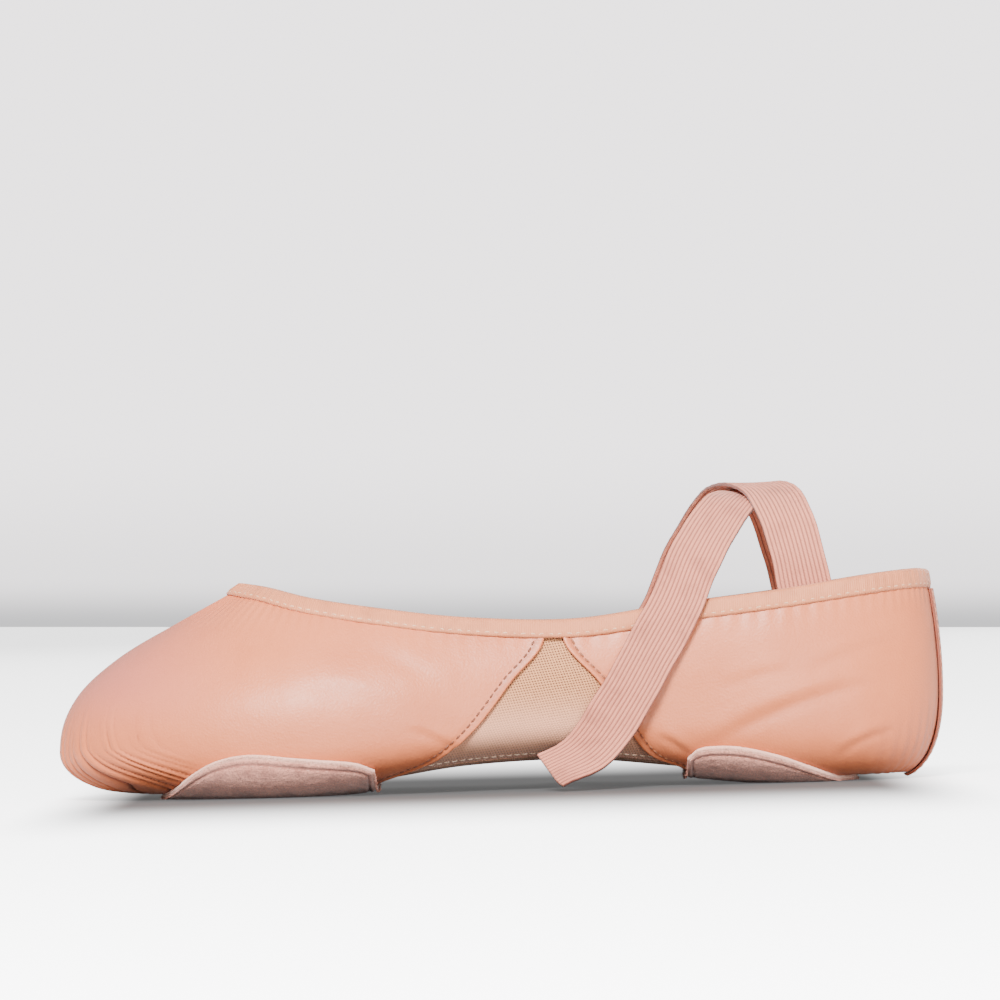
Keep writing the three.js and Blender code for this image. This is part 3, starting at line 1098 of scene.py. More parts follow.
def swept(outlines: Array, loop: bool, numbers: dict[str, Array] | None = None) -> Grid:
    """Solid through a row of matching outlines, closed in a loop or drawn in to a line at its ends.

    Args:
        outlines: The outlines, each with the same number of points.
        loop: True to join the last to the first.
        numbers: Values to store, for each point.

    Returns:
        The solid.
    """
    rows = outlines
    if not loop:
        def flat(o: Array) -> Array:
            """An outline drawn in to a line."""
            return (o + o[::-1]) / 2
        rows = np.concatenate([flat(outlines[0])[None], outlines, flat(outlines[-1])[None]])
    faces = strip_faces(rows.shape[0], rows.shape[1], loop_rows=loop, loop_columns=True)
    stored = {}
    for key, values in (numbers or {}).items():
        if not loop:
            values = np.concatenate([values[:1], values, values[-1:]])
        stored[key] = values.reshape(-1)
    return Grid(rows.reshape(-1, 3), faces, stored)


class Grower(Tree):
    """Writes a Geometry Nodes tree that lays small copies along a line."""

    def __init__(self, name: str, sizes: Sequence[str]) -> None:
        """Starts a tree with even points on the line that it is given.

        Args:
            name: The tree's name.
            sizes: Its number inputs, with the points' Pitch among them.
        """
        super().__init__(bpy.data.node_groups.new(name, "GeometryNodeTree"))
        sockets = {"Geometry": "Geometry", **dict.fromkeys(sizes, "Float"), "Material": "Material"}
        for key, kind in sockets.items():
            self.tree.interface.new_socket(key, in_out="INPUT", socket_type="NodeSocket" + kind)
        self.tree.interface.new_socket("Geometry", in_out="OUTPUT", socket_type="NodeSocketGeometry")
        self.given = self.node("NodeGroupInput").outputs
        self.points = self.made("GeometryNodeResampleCurve", {"mode": "LENGTH"}, {
            "Curve": self.made("GeometryNodeMeshToCurve", {}, {0: self.given["Geometry"]}),
            "Length": self.given["Pitch"],
        })

    def made(self, kind: str, settings: dict, sockets: dict) -> bpy.types.NodeSocket:
        """First output of a new node."""
        return self.node(kind, settings, sockets).outputs[0]

    def size(self, name: str) -> Value:
        """One of the number inputs."""
        return Value(self, self.given[name])

    def standing(self, settings: dict, sockets: dict) -> bpy.types.NodeSocket:
        """Rotation that stands each copy along the line's lift directions.

        Args:
            settings: Settings of the node.
            sockets: Values for its inputs.

        Returns:
            The rotation.
        """
        lift = self.made("GeometryNodeInputNamedAttribute", {"data_type": "FLOAT_VECTOR"}, {"Name": "lift"})
        settings = {"axis": "Z", **settings}
        return self.made("FunctionNodeAlignRotationToVector", settings, {"Vector": lift, **sockets})

    def turned(self, rotation: bpy.types.NodeSocket, angles: bpy.types.NodeSocket) -> bpy.types.NodeSocket:
        """A rotation turned on by angles about its own axes.

        Args:
            rotation: The rotation.
            angles: Angles about its axes.

        Returns:
            The turned rotation.
        """
        turn = self.made("FunctionNodeEulerToRotation", {}, {0: angles})
        return self.made("FunctionNodeRotateRotation", {"rotation_space": "LOCAL"}, {
            "Rotation": rotation, "Rotate By": turn,
        })

    def lay(self, copy: bpy.types.NodeSocket, rotation: bpy.types.NodeSocket,
            **more: Plug) -> bpy.types.NodeTree:
        """Lays a copy on every point, as one mesh, and closes the tree.

        Args:
            copy: The mesh to copy.
            rotation: How each copy lies.
            more: Other inputs of the node that lays them.

        Returns:
            The tree.
        """
        placed = self.made("GeometryNodeInstanceOnPoints", {}, {
            "Points": self.points, "Instance": copy, "Rotation": rotation, **more,
        })
        real = self.made("GeometryNodeRealizeInstances", {}, {0: placed})
        dressed = {"Geometry": real, "Material": self.given["Material"]}
        finished = self.made("GeometryNodeSetMaterial", {}, dressed)
        self.node("NodeGroupOutput", sockets={0: finished})
        return self.tree


@cache
def stitch_tree() -> bpy.types.NodeTree:
    """Tree that lays a short arched thread on each point of a line.

    Returns:
        The tree.
    """
    g = Grower("stitch_row", ("Length", "Pitch", "Thickness", "Rise", "Slant", "Jitter"))

    def spot(**axes: Value) -> bpy.types.NodeSocket:
        """A place made of its axes."""
        return g.made("ShaderNodeCombineXYZ", {}, axes)

    tangent = g.made("GeometryNodeInputTangent", {}, {})
    lie = g.made("FunctionNodeAlignRotationToVector", {"axis": "X"}, {"Vector": tangent})
    odd = Value(g, g.made("GeometryNodeInputIndex", {}, {})).maths("MODULO", 2.0)
    chance = g.node("FunctionNodeRandomValue", {"data_type": "FLOAT"}, {
        2: g.size("Jitter") * -1.0, 3: g.size("Jitter"), "Seed": SEED,
    })
    turn = (odd * 2.0 - 1.0) * g.size("Slant") + Value(g, chance.outputs[1])
    half, sunk = g.size("Length") * 0.5, g.size("Thickness") * -0.7
    arch = g.made("GeometryNodeCurveQuadraticBezier", {}, {
        "Resolution": 6, "Start": spot(X=half * -1.0, Z=sunk), "Middle": spot(Z=g.size("Rise") * 2.0),
        "End": spot(X=half, Z=sunk),
    })
    around = {"Resolution": 6, "Radius": g.size("Thickness") * 0.5}
    ring = g.made("GeometryNodeCurvePrimitiveCircle", {}, around)
    thread = g.made("GeometryNodeCurveToMesh", {}, {"Curve": arch, "Profile Curve": ring, "Fill Caps": True})
    soft = g.made("GeometryNodeSetShadeSmooth", {}, {0: thread})
    return g.lay(soft, g.turned(g.standing({"pivot_axis": "X"}, {"Rotation": lie}), spot(Z=turn)))


@cache
def fibre_tree() -> bpy.types.NodeTree:
    """Tree that grows fine fibres along a line, out of the work.

    Returns:
        The tree.
    """
    g = Grower("cut_edge_fibres", ("Pitch", "Length", "Thickness"))
    lean = g.made("FunctionNodeRandomValue", {"data_type": "FLOAT_VECTOR"}, {
        0: (-0.9, -0.9, -3.1), 1: (0.9, 0.9, 3.1), "Seed": SEED,
    })
    size = g.node("FunctionNodeRandomValue", {"data_type": "FLOAT"}, {2: 0.35, 3: 1.0, "Seed": SEED + 1})
    fibre = g.made("GeometryNodeMeshCone", {}, {
        "Vertices": 3, "Side Segments": 1, "Radius Bottom": g.given["Thickness"], "Depth": g.given["Length"],
    })
    return g.lay(fibre, g.turned(g.standing({}, {}), lean), Scale=size.outputs[1])


@dataclass
class Stitch:
    """A stitch row's sizes, in millimetres."""

    length: float
    pitch: float
    thickness: float
    rise: float
    slant: float = 0.0
    jitter: float = 0.06  # radians that a stitch may lie askew

    def row(self, name: str, lines: Sequence[tuple[Array, Array]],
            material: bpy.types.Material) -> bpy.types.Object:
        """Sews rows along lines.

        Args:
            name: The piece's name.
            lines: Each line's points in millimetres and the directions that face out of the work.
            material: The thread.

        Returns:
            One plain mesh of all the stitches.
        """
        return grown(name, stitch_tree(), lines, material, {
            "Length": self.length * MM, "Pitch": self.pitch * MM, "Thickness": self.thickness * MM,
            "Rise": self.rise * MM, "Slant": self.slant, "Jitter": self.jitter,
        })


def grown(name: str, tree: bpy.types.NodeTree, lines: Sequence[tuple[Array, Array]],
          material: bpy.types.Material, sizes: dict[str, float]) -> bpy.types.Object:
    """Runs a Geometry Nodes tree on lines and keeps the result as a plain mesh.

    Args:
        name: The piece's name.
        tree: The tree, whose inputs are named in sizes.
        lines: Each line's points in millimetres and the directions that face out.
        material: The finish that the tree sets.
        sizes: Values of the tree's named inputs.

    Returns:
        The plain mesh object, with no modifier.
    """
    points = np.concatenate([p for p, _ in lines])
    lifts = np.concatenate([unit(d) for _, d in lines])
    edges, start = [], 0
    for p, _ in lines:
        edges += [(start + k, start + k + 1) for k in range(len(p) - 1)]
        start += len(p)
    mesh = bpy.data.meshes.new(name + "_line")
    mesh.from_pydata((points * MM).tolist(), edges, [])
    lift = mesh.attributes.new("lift", "FLOAT_VECTOR", "POINT")
    lift.data.foreach_set("vector", lifts.astype(np.float32).ravel())
    guide = bpy.data.objects.new(name + "_guide", mesh)
    bpy.context.scene.collection.objects.link(guide)
    modifier = guide.modifiers.new("grow", "NODES")
    modifier.node_group = tree
    sockets = {item.name: item.identifier for item in tree.interface.items_tree if item.in_out == "INPUT"}
    for key, value in sizes.items():
        modifier[sockets[key]] = value
    modifier[sockets["Material"]] = material
    graph = bpy.context.evaluated_depsgraph_get()
    made = bpy.data.meshes.new_from_object(guide.evaluated_get(graph), depsgraph=graph)
    made.name = name
    bpy.data.objects.remove(guide)
    bpy.data.meshes.remove(mesh)
    if not made.materials:
        made.materials.append(material)
    thing = bpy.data.objects.new(name, made)
    bpy.context.scene.collection.objects.link(thing)
    log.info("%s: %d points, %d faces", name, len(made.vertices), len(made.polygons))
    return thing


def ride_on(thing: bpy.types.Object, body: Body, slot: str, *nodes: str) -> bpy.types.Object:
    """Dresses a finished piece: hangs it on its body and hides the solids it stands for.

    Args:
        thing: The piece.
        body: What it moves with.
        slot: Not used.
        nodes: The solids that it replaces.

    Returns:
        The piece.
    """
    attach(thing, body.value)
    if nodes:
        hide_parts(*nodes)
    return thing


def stretch_over(thing: bpy.types.Object, slot: str, *nodes: str) -> bpy.types.Object:
    """Fixes in place a piece that spans the toe half and the heel half, and hides the solids it stands for.

    Args:
        thing: The piece.
        slot: Not used.
        nodes: The solids it stands for.

    Returns:
        The piece.
    """
    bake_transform(thing)
    if nodes:
        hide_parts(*nodes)
    return thing


def seam_line(around: Array, up: Array, offset: float) -> tuple[Array, Array]:
    """A line on the upper, with the directions that face out of it."""
    return LAST.layer(around, up, offset), LAST.normal(around, up)


def both_sides(around: Array, up: Array, offset: float) -> list[tuple[Array, Array]]:
    """The same seam line on the left side and on the right."""
    points, out = seam_line(around, up, offset)
    return [(points * (1, side, 1), out * (1, side, 1)) for side in SIDES.values()]


def strip_line(half_width: float, up: Array) -> Array:
    """Places a half width from the back seam, drawn in toward the sole as the strip over it is.

    Args:
        half_width: Half the full width, in millimetres.
        up: Height shares.

    Returns:
        Places round the slipper.
    """
    half = half_width * np.clip(0.5 + (up - STRIP_FOOT) * 2.2, 0, 1)
    return falling_root(lambda a: half - LAST.point(a, up)[..., 1], up * 0, up * 0 + 0.16)


def one_side(face: Array, side: int) -> Array:
    """A face kept to one side of the middle, short of it by half a gap."""
    return np.stack([face[..., 0], side * np.maximum(face[..., 1], THICK.gap / 2), face[..., 2]], -1)


@dataclass
class Folds:
    """Relief of the leather: toe pleats, creases and soft handling marks, in millimetres."""

    pleats: int = 15
    reach: float = 0.22  # share round the upper, on each side of the toe, that is pleated
    depth: float = 1.35
    sweep: float = 0.13  # how far the pleats lean back towards the pad
    seed: int = 11

    def pleat_lines(self) -> Array:
        """Places of the pleats' valleys, unevenly spaced, from the toe outwards.

        Returns:
            The places, in order.
        """
        steps = 1 + 0.35 * np.sin(np.arange(self.pleats + 2) * 2.4 + self.seed)
        places = np.cumsum(steps) - steps[0] / 2
        return places / places[-1] * self.reach

    def pleated(self, around: Array, up: Array) -> tuple[Array, Array]:
        """Pleats gathered under the front of the pad.

        Args:
            around: Place round the slipper.
            up: Height share.

        Returns:
            How far the leather stands out, and painted shade in the pleats' valleys, from 0 to 1.
        """
        away, rise = np.abs(around - 1), np.abs(up)
        swept_back = self.sweep * (1 - smooth(0.2, 0.6, rise)) * smooth(0, 0.3, away)
        sway = 0.004 * np.sin(rise * 14 + away * 40) * np.clip(away / 0.03, 0, 1)
        lines = self.pleat_lines()
        lines = np.concatenate([-lines[::-1], lines])
        signed = np.where(around > 1, 1, -1) * (away - swept_back + sway)
        i = np.clip(np.searchsorted(lines, signed), 1, len(lines) - 1)
        left, right = lines[i - 1], lines[i]
        share = np.clip((signed - left) / (right - left), 0, 1)
        arch = np.sin(math.pi * share) ** 0.55
        wave = np.sin(i * 1.7 + self.seed)
        top = 0.60 + 0.05 * wave
        gone = smooth(self.reach - 0.06, self.reach, away - swept_back * 0.6)
        fade = (1 - smooth(0.55, 1.0, rise / top)) * (1 - gone)
        size = self.depth * (0.75 + 0.35 * wave)
        height = (arch - 0.62) * size * fade
        # Painted shade, deepest in each pleat's valley.
        valley_shade = (1 - smooth(0.1, 0.66, arch)) * fade**0.8
        return height, valley_shade

    def creased(self, points: Array, creases: Sequence[Sequence[Sequence[float]]]) -> tuple[Array, Array]:
        """Long soft creases along given lines.

        Args:
            points: The leather's points, in millimetres.
            creases: Each crease is two or more x, z places from the toe, its depth and its width.

        Returns:
            Relief, and painted shade along each crease.
        """
        relief, fold = np.zeros(points.shape[:-1]), np.zeros(points.shape[:-1])
        x, z = points[..., 0] + MIDDLE, points[..., 2]
        for (x0, z0), (x1, z1), (depth, width, bow) in creases:
            run = np.array([x1 - x0, z1 - z0])
            length = np.hypot(*run)
            along = ((x - x0) * run[0] + (z - z0) * run[1]) / length**2
            middle = np.sin(math.pi * np.clip(along, 0, 1))
            off = ((x - x0) * -run[1] + (z - z0) * run[0]) / length - bow * middle
            inside = middle**0.7 * ((along > 0) & (along < 1))
            welt, groove = np.exp(-((off - width) / width) ** 2), np.exp(-(off / (width * 0.7)) ** 2)
            relief += depth * inside * (welt * 0.7 - groove)
            # Painted shade along the crease's groove.
            fold += inside * np.exp(-(off / (width * 0.5)) ** 2) * min(1, depth)
        return relief, fold

    def handled(self, points: Array) -> Array:
        """Low humps and hollows that soft leather keeps from wear."""
        return 0.34 * cloud(points, 26, self.seed) + 0.13 * cloud(points, 9, self.seed + 1)


FOLDS = Folds()
FOLD_OVER = 1.7  # from a turned edge to its stitches
SEAM_LAP = 3.0  # arch mesh that runs in under the leather
STRIP_FOOT = 0.12  # height share where the back strip starts
LINING_TONES = (srgb(230, 194, 162), srgb(190, 146, 112))
SHOE_LEATHER = Leather()


def edge_dip(distance: Array, at: float, width: float = 0.75) -> Array:
    """Dip along a stitch row, for points at a distance from the cut edge."""
    return np.exp(-(((distance - at) / width) ** 2))


def leather_part(name: str, around: Array, ups: Array, relief: Array, run: Array, dark: Array,
                 side: int = 0, bulge: float = 1.0) -> bpy.types.Object:
    """Leather of the upper, with a turned edge at the arch and puckers under the binding.

    Args:
        name: The piece's name.
        around: Places round the slipper.
        ups: Height shares.
        relief: How far the leather stands out, in millimetres.
        run: Distance of each point from the turned edge.
        dark: Painted shade in folds, from 0 to 1.
        side: -1 or 1 for leather that ends at the back seam, on that side.
        bulge: Roundness of its rims.

    Returns:
        The piece.
    """
    lip = 0.28 * (1 - smooth(0.9, 2.2, run)) - 0.26 * edge_dip(run, FOLD_OVER)
    pucker = 0.10 * np.sin(around * 430) * (1 - smooth(2, 8, (1 - ups) * 44))
    outer = LAST.layer(around, ups, relief + lip + pucker)
    inner = LAST.layer(around, ups, -THICK.leather)
    outer[..., 2] = np.maximum(outer[..., 2], THICK.floor - 0.1)
    if side:
        outer, inner = one_side(outer, side), one_side(inner, side)
    # Painted shade in folds and in the dip of the stitch row by the turned edge.
    fold = np.clip(dark + 0.42 * edge_dip(run, FOLD_OVER, 0.5), 0, 1)
    shell = rounded_shell(outer, inner, {"fold": fold}, foot_rim=side != 0, bulge=bulge)
    return shell.piece(name, SHOE_LEATHER.material())


def inside_layer(name: str, around: Array, up: Array, offset: float, thickness: float,
                 material: bpy.types.Material, loft: float = 0.0) -> bpy.types.Object:
    """A layer inside the upper, in one piece from side to side.

    Args:
        name: The piece's name.
        around: Places round the slipper, with a column for each height share.
        up: Height shares.
        offset: Offset of its outer face.
        thickness: Its thickness.
        material: Its finish.
        loft: How far it crowns between its edges, in millimetres.

    Returns:
        The piece.
    """
    ups = np.broadcast_to(up, around.shape)
    span = np.sin(math.pi * np.linspace(0, 1, around.shape[0]))[:, None] ** 0.4
    crown = loft * span * (1 - (ups / up[-1]) ** 4) - loft * 0.5
    outer = LAST.layer(around, ups, offset)
    inner = LAST.layer(around, ups, offset - thickness - crown)
    return rounded_shell(outer, inner, foot_rim=False, bulge=0.6).piece(name, material)


@dataclass(frozen=True)
class SoleLayers:
    """Padding and inner sole of one half, under the foot."""

    body: Body
    padding: str
    foam: str
    padding_end: float  # from the toe
    inner_sole: str
    sock: str
    sock_end: float
    top: float = 0.3
    rows: int = 16

    def build(self, spread: Callable[[Array], Array]) -> None:
        """Makes and dresses both layers.

        Args:
            spread: Places round the slipper of rows that end at the given places.
        """
        up = np.linspace(0, self.top, self.rows)
        foam = Cloth(self.foam, srgb(244, 236, 222), srgb(214, 198, 176), 0.9).material()
        padding = inside_layer(self.padding, spread(LAST.around_at(self.padding_end, up)), up,
                               THICK.padding_face, THICK.padding, foam, loft=0.25)
        ride_on(padding, self.body, "padding", self.body.value + "_padding")
        sock = Cloth(self.sock, srgb(232, 206, 184), srgb(200, 164, 138), 0.7).material()
        sole = inside_layer(self.inner_sole, spread(LAST.around_at(self.sock_end, up)), up,
                            THICK.sock_face, THICK.sock, sock)
        ride_on(sole, self.body, "insole", self.body.value + "_insole")


@dataclass
class Forefoot:
    """Toe half: gathered vamp, its lining, padding, inner sole and sole pad."""

    columns: int = 470
    rows: int = 100
    lining_columns: int = 120
    lining_rows: int = 44
    creases: tuple = (
        ((84, 40), (108, 26), (0.18, 3.6, 1.5)),
        ((52, 46), (74, 38), (0.10, 3.4, -1.0)),
        ((96, 18), (112, 9), (0.3, 1.8, 0.8)),
        ((66, 30), (98, 21), (0.12, 3.0, 2.0)),
    )

    def spread(self, edge: Array, columns: int) -> Array:
        """Places round the toe, closer together at its tip, for rows that start at an edge.

        Args:
            edge: Where each row starts.
            columns: Steps from one side to the other.

        Returns:
            Places round the slipper.
        """
        s = np.linspace(-1, 1, columns + 1)[:, None]
        eased = s * (0.42 + 0.58 * np.abs(s) ** 1.2)
        return 1 + eased * (1 - edge)[None, :]

    def vamp(self) -> None:
        """The gathered leather of the toe, in one piece."""
        up = np.interp(np.linspace(0, 1, self.rows + 1), (0, 0.07, 0.70, 1), (0, 0.1, 0.64, 1))
        around = self.spread(LAST.around_edge(VAMP_EDGE, 0.45, up), self.columns)
        ups = np.broadcast_to(up, around.shape)
        base = LAST.point(around, ups)
        pleat, valley_shade = FOLDS.pleated(around, ups)
        relief, fold = FOLDS.creased(base, self.creases)
        run = np.abs(base[..., 0] - np.where(around < 1, base[[0], :, 0], base[[-1], :, 0]))
        relief = pleat + relief + FOLDS.handled(base) * smooth(0, 6, run)
        piece = leather_part("gathered_vamp", around, ups, relief, run, valley_shade * 0.78 + fold * 0.1)
        ride_on(piece, Body.FOREFOOT, "leather", "vamp")

    def build(self) -> None:
        """Makes and dresses the toe half."""
        self.vamp()
        up = np.linspace(0, 1, self.lining_rows)
        edge = LAST.around_edge(VAMP_EDGE, -SEAM_LAP - THICK.edge_gap, up)
        cloth = Cloth("cotton_lining", *LINING_TONES).material()
        lining = inside_layer("toe_lining", self.spread(edge, self.lining_columns), up,
                              THICK.under_leather, THICK.lining, cloth)
        ride_on(lining, Body.FOREFOOT, "lining", "vamp_lining")
        layers = SoleLayers(
            Body.FOREFOOT, "toe_padding", "foam_wadding", 84.0, "toe_inner_sole", "inner_sole", 85.0,
        )
        layers.build(lambda edge: self.spread(edge, self.lining_columns))


@dataclass
class Heel:
    """Heel half: two quarters, linings, padding, inner sole and the back seam's strip."""

    columns: int = 190
    rows: int = 96
    lining_columns: int = 60
    lining_rows: int = 44
    sole_columns: int = 100
    strip_columns: int = 32
    strip_rows: int = 90
    strip_width: float = 12.0
    creases: tuple = (
        ((175, 10), (222, 27), (0.62, 3.2, 2.2)),
        ((163, 14), (172, 8), (0.40, 1.6, 0.5)),
        ((211, 7), (228, 14), (0.42, 1.8, 0.9)),
        ((204, 30), (231, 39), (0.26, 2.6, 1.0)),
        ((180, 26), (200, 31), (0.22, 2.6, 0.8)),
    )

    def half(self, shift: float, rows: int, columns: int) -> tuple[Array, Array]:
        """Places round and up one side, from the back seam to an edge at the arch.

        Args:
            shift: Distance of that edge from the leather's line, in millimetres.
            rows: Places from the sole to the topline.
            columns: Steps from the seam to the edge.

        Returns:
            Places round the slipper, and height shares.
        """
        up = np.linspace(0, 1, rows)
        edge = LAST.around_edge(QUARTER_EDGE, shift, up)
        around = np.linspace(0, 1, columns + 1)[:, None] * edge[None, :]
        return around, np.broadcast_to(up, around.shape)

    def quarter(self, name: str, side: int) -> None:
        """One side of the heel, in leather.

        Args:
            name: The side's name.
            side: -1 for the left side and 1 for the right.
        """
        around, ups = self.half(-0.45, self.rows + 1, self.columns)
        base = LAST.point(around, ups)
        relief, fold = FOLDS.creased(base, self.creases)
        run = np.abs(base[..., 0] - base[[-1], :, 0])
        calm = (1 - smooth(2, 8, run)) + (1 - smooth(2, 9, base[..., 1]))
        soft = FOLDS.handled(base * (1, side, 1) + 3) * (1 - np.clip(calm, 0, 1))
        low_back = (1 - smooth(0.3, 0.52, ups)) * (1 - smooth(0.1, 0.24, around))
        gather = 0.11 * np.sin(around * 300 + ups * 9) * low_back
        relief = relief + soft + gather
        piece = leather_part(name + "_leather_quarter", around, ups, relief, run, fold * 0.14,
                             side, bulge=0.4)
        ride_on(piece, Body.HEEL, "leather", name + "_quarter")

    def lining(self, name: str, side: int, cloth: bpy.types.Material) -> None:
        """One side's lining.

        Args:
            name: The side's name.
            side: -1 for the left side and 1 for the right.
            cloth: Its finish.
        """
        around, ups = self.half(SEAM_LAP + THICK.edge_gap, self.lining_rows, self.lining_columns)
        outer = one_side(LAST.layer(around, ups, THICK.under_leather), side)
        inner = one_side(LAST.layer(around, ups, THICK.under_leather - THICK.lining), side)
        piece = rounded_shell(outer, inner, bulge=0.4).piece(name + "_heel_lining", cloth)
        ride_on(piece, Body.HEEL, "lining", name + "_quarter_lining")

    def back_strip(self) -> None:
        """Leather strip over the back seam, with painted shade along its edges."""
        top = float(LAST.up_below(np.array(0.0), Binding.width + THICK.gap))
        up = np.linspace(STRIP_FOOT, top, self.strip_rows)
        share = np.linspace(-1, 1, self.strip_columns + 1)[None, :]
        around = strip_line(self.strip_width / 2, up)[:, None] * share
        ups = np.broadcast_to(up[:, None], around.shape)
        ragged = 0.10 * cloud(LAST.point(around, ups), 1.3, 5)
        dome = -0.35 * np.abs(share) ** 6 + ragged * np.abs(share) ** 2
        outer = LAST.layer(around, ups, THICK.gap + THICK.back_tape + dome)
        inner = LAST.layer(around, ups, THICK.gap)
        # Painted shade along both edges of the strip.
        dark = np.broadcast_to(0.75 * smooth(0.86, 1.0, np.abs(share)), around.shape)
        leather = Leather("strip_leather", tone=srgb(196, 106, 76)).material()
        piece = rounded_shell(outer, inner, {"fold": dark}, bulge=0.7).piece("back_seam_strip", leather)
        ride_on(piece, Body.HEEL, "leather", "back_seam_tape")

    def build(self) -> None:
        """Makes and dresses the heel half."""
        cloth = Cloth("heel_lining_cloth", *LINING_TONES).material()
        for name, side in SIDES.items():
            self.quarter(name, side)
            self.lining(name, side, cloth)
        layers = SoleLayers(
            Body.HEEL, "heel_wadding", "heel_foam", 175.0, "heel_inner_sole", "heel_sock", 174.0,
        )
        layers.build(lambda edge: np.linspace(-1, 1, self.sole_columns + 1)[:, None] * edge[None, :])
        self.back_strip()


@dataclass
class Arch:
    """Stretch mesh between the toe half and the heel half: a panel in each side and the sling."""

    FRONT = ((118 - MIDDLE) * MM, 0.0, 0.022)
    REAR = ((156 - MIDDLE) * MM, 0.0, 0.022)
    sling_edge: float = 0.183
    panel_gap: float = 0.006
    sling_gap: float = 0.004
    tuck: float = 3.0
    rows: int = 90
    columns: int = 110

    def edges(self, up: Array) -> tuple[Array, Array]:
        """Places round the upper where the mesh begins and ends, tucked in under the leather."""
        return LAST.around_edge(VAMP_EDGE, -self.tuck, up), LAST.around_edge(QUARTER_EDGE, self.tuck, up)

    def cloth(self, points: Array) -> dict[str, Array]:
        """Places along and across the cloth, in millimetres, with how open the knit is there.

        Args:
            points: Points of the cloth, in millimetres.

        Returns:
            Values for each point.
        """
        slope = 0.62
        x, z = points[..., 0], points[..., 2]
        along = (x * slope + z) / math.hypot(1, slope)
        across = (x - z * slope) / math.hypot(1, slope)
        return {"along": along, "across": across, "open": 0.35 + 0.65 * smooth(16, 30, z)}

    def panel(self, name: str, side: int, knit: bpy.types.Material) -> None:
        """One side's mesh panel, with its turned lower hem.

        Args:
            name: Its name.
            side: -1 for the left side and 1 for the right.
            knit: The mesh's finish.
        """
        up = np.linspace(self.sling_edge + self.panel_gap, 1, self.rows + 1)
        front, rear = self.edges(up)
        share = np.linspace(0, 1, self.columns + 1)[:, None]
        around, ups = mix(rear, front, share), np.broadcast_to(up, (self.columns + 1, self.rows + 1))
        base = LAST.point(around, ups)
        rise = run_along(base, 1)
        hem = 0.22 * np.exp(-((rise - 0.8) / 0.9) ** 2) - 0.16 * edge_dip(rise, 2.2, 0.45)
        pull = 0.16 * np.sin(share * math.pi) * cloud(base, 10, 21) - 0.12 * np.sin(share * math.pi)
        outer = LAST.layer(around, ups, THICK.under_leather + hem + pull)
        inner = LAST.layer(around, ups, THICK.under_leather - THICK.lining + pull)
        for face in (outer, inner):
            face[..., 1] *= side
        numbers = self.cloth(base)
        numbers["open"] = numbers["open"] * smooth(1.2, 2.8, rise)
        # Painted shade in the dip above the turned hem.
        numbers["fold"] = 0.16 * edge_dip(rise, 2.2, 0.35)
        shell = rounded_shell(outer, inner, numbers)
        length = float(np.linalg.norm(np.diff(outer[:, self.rows // 2], axis=0), axis=-1).sum())
        height = float(rise[self.columns // 2, -1])
        piece = shell.piece(name + "_mesh_panel", knit)
        stretch_over(piece, "mesh", name + "_arch_mesh")
        declare_sheet(piece, outer, height, length)

    def sling(self, knit: bpy.types.Material) -> None:
        """The band of mesh under the arch.

        Args:
            knit: The mesh's finish.
        """
        share = np.linspace(0, 1, 61)[:, None]
        up = np.linspace(-1, 1, 61) * (self.sling_edge - self.sling_gap)
        front, rear = self.edges(np.abs(up))
        around, ups = mix(front, rear, share), np.broadcast_to(up, (61, 61))
        outer = LAST.layer(around, ups, THICK.under_leather)
        inner = LAST.layer(around, ups, THICK.under_leather - THICK.lining)
        numbers = self.cloth(LAST.point(around, ups))
        numbers["along"] = outer[..., 1]
        numbers["across"] = outer[..., 0]
        numbers["fold"] = np.zeros(ups.shape)
        piece = rounded_shell(outer, inner, numbers).piece("arch_band", knit)
        stretch_over(piece, "mesh", "arch_sling")
        length = float(np.linalg.norm(np.diff(outer[:, 30], axis=0), axis=-1).sum())
        width = float(np.linalg.norm(np.diff(outer[30], axis=0), axis=-1).sum())
        declare_sheet(piece, outer, width, length)

    def build(self) -> None:
        """Makes and dresses the arch."""
        knit = Knit().material()
        for name, side in SIDES.items():
            self.panel(name, side, knit)
        self.sling(knit)


def declare_sheet(piece: bpy.types.Object, face: Array, width: float, length: float) -> None:
    """Logs the cut size of a cloth piece, scaled up to match the area of its own outer face.

    Args:
        piece: The cloth.
        face: Points of its outer face, in millimetres.
        width: Its cut width, in millimetres.
        length: Its cut length, in millimetres.
    """
    rows, columns = face.shape[:2]
    area = Grid(face.reshape(-1, 3), strip_faces(rows, columns)).area()
    width, length = (side * MM * math.sqrt(max(1.0, area / (width * length))) for side in (width, length))
    area = min(area * MM**2, width * length)
    log.info("%s is cut %.1f by %.1f mm", piece.name, width / MM, length / MM)


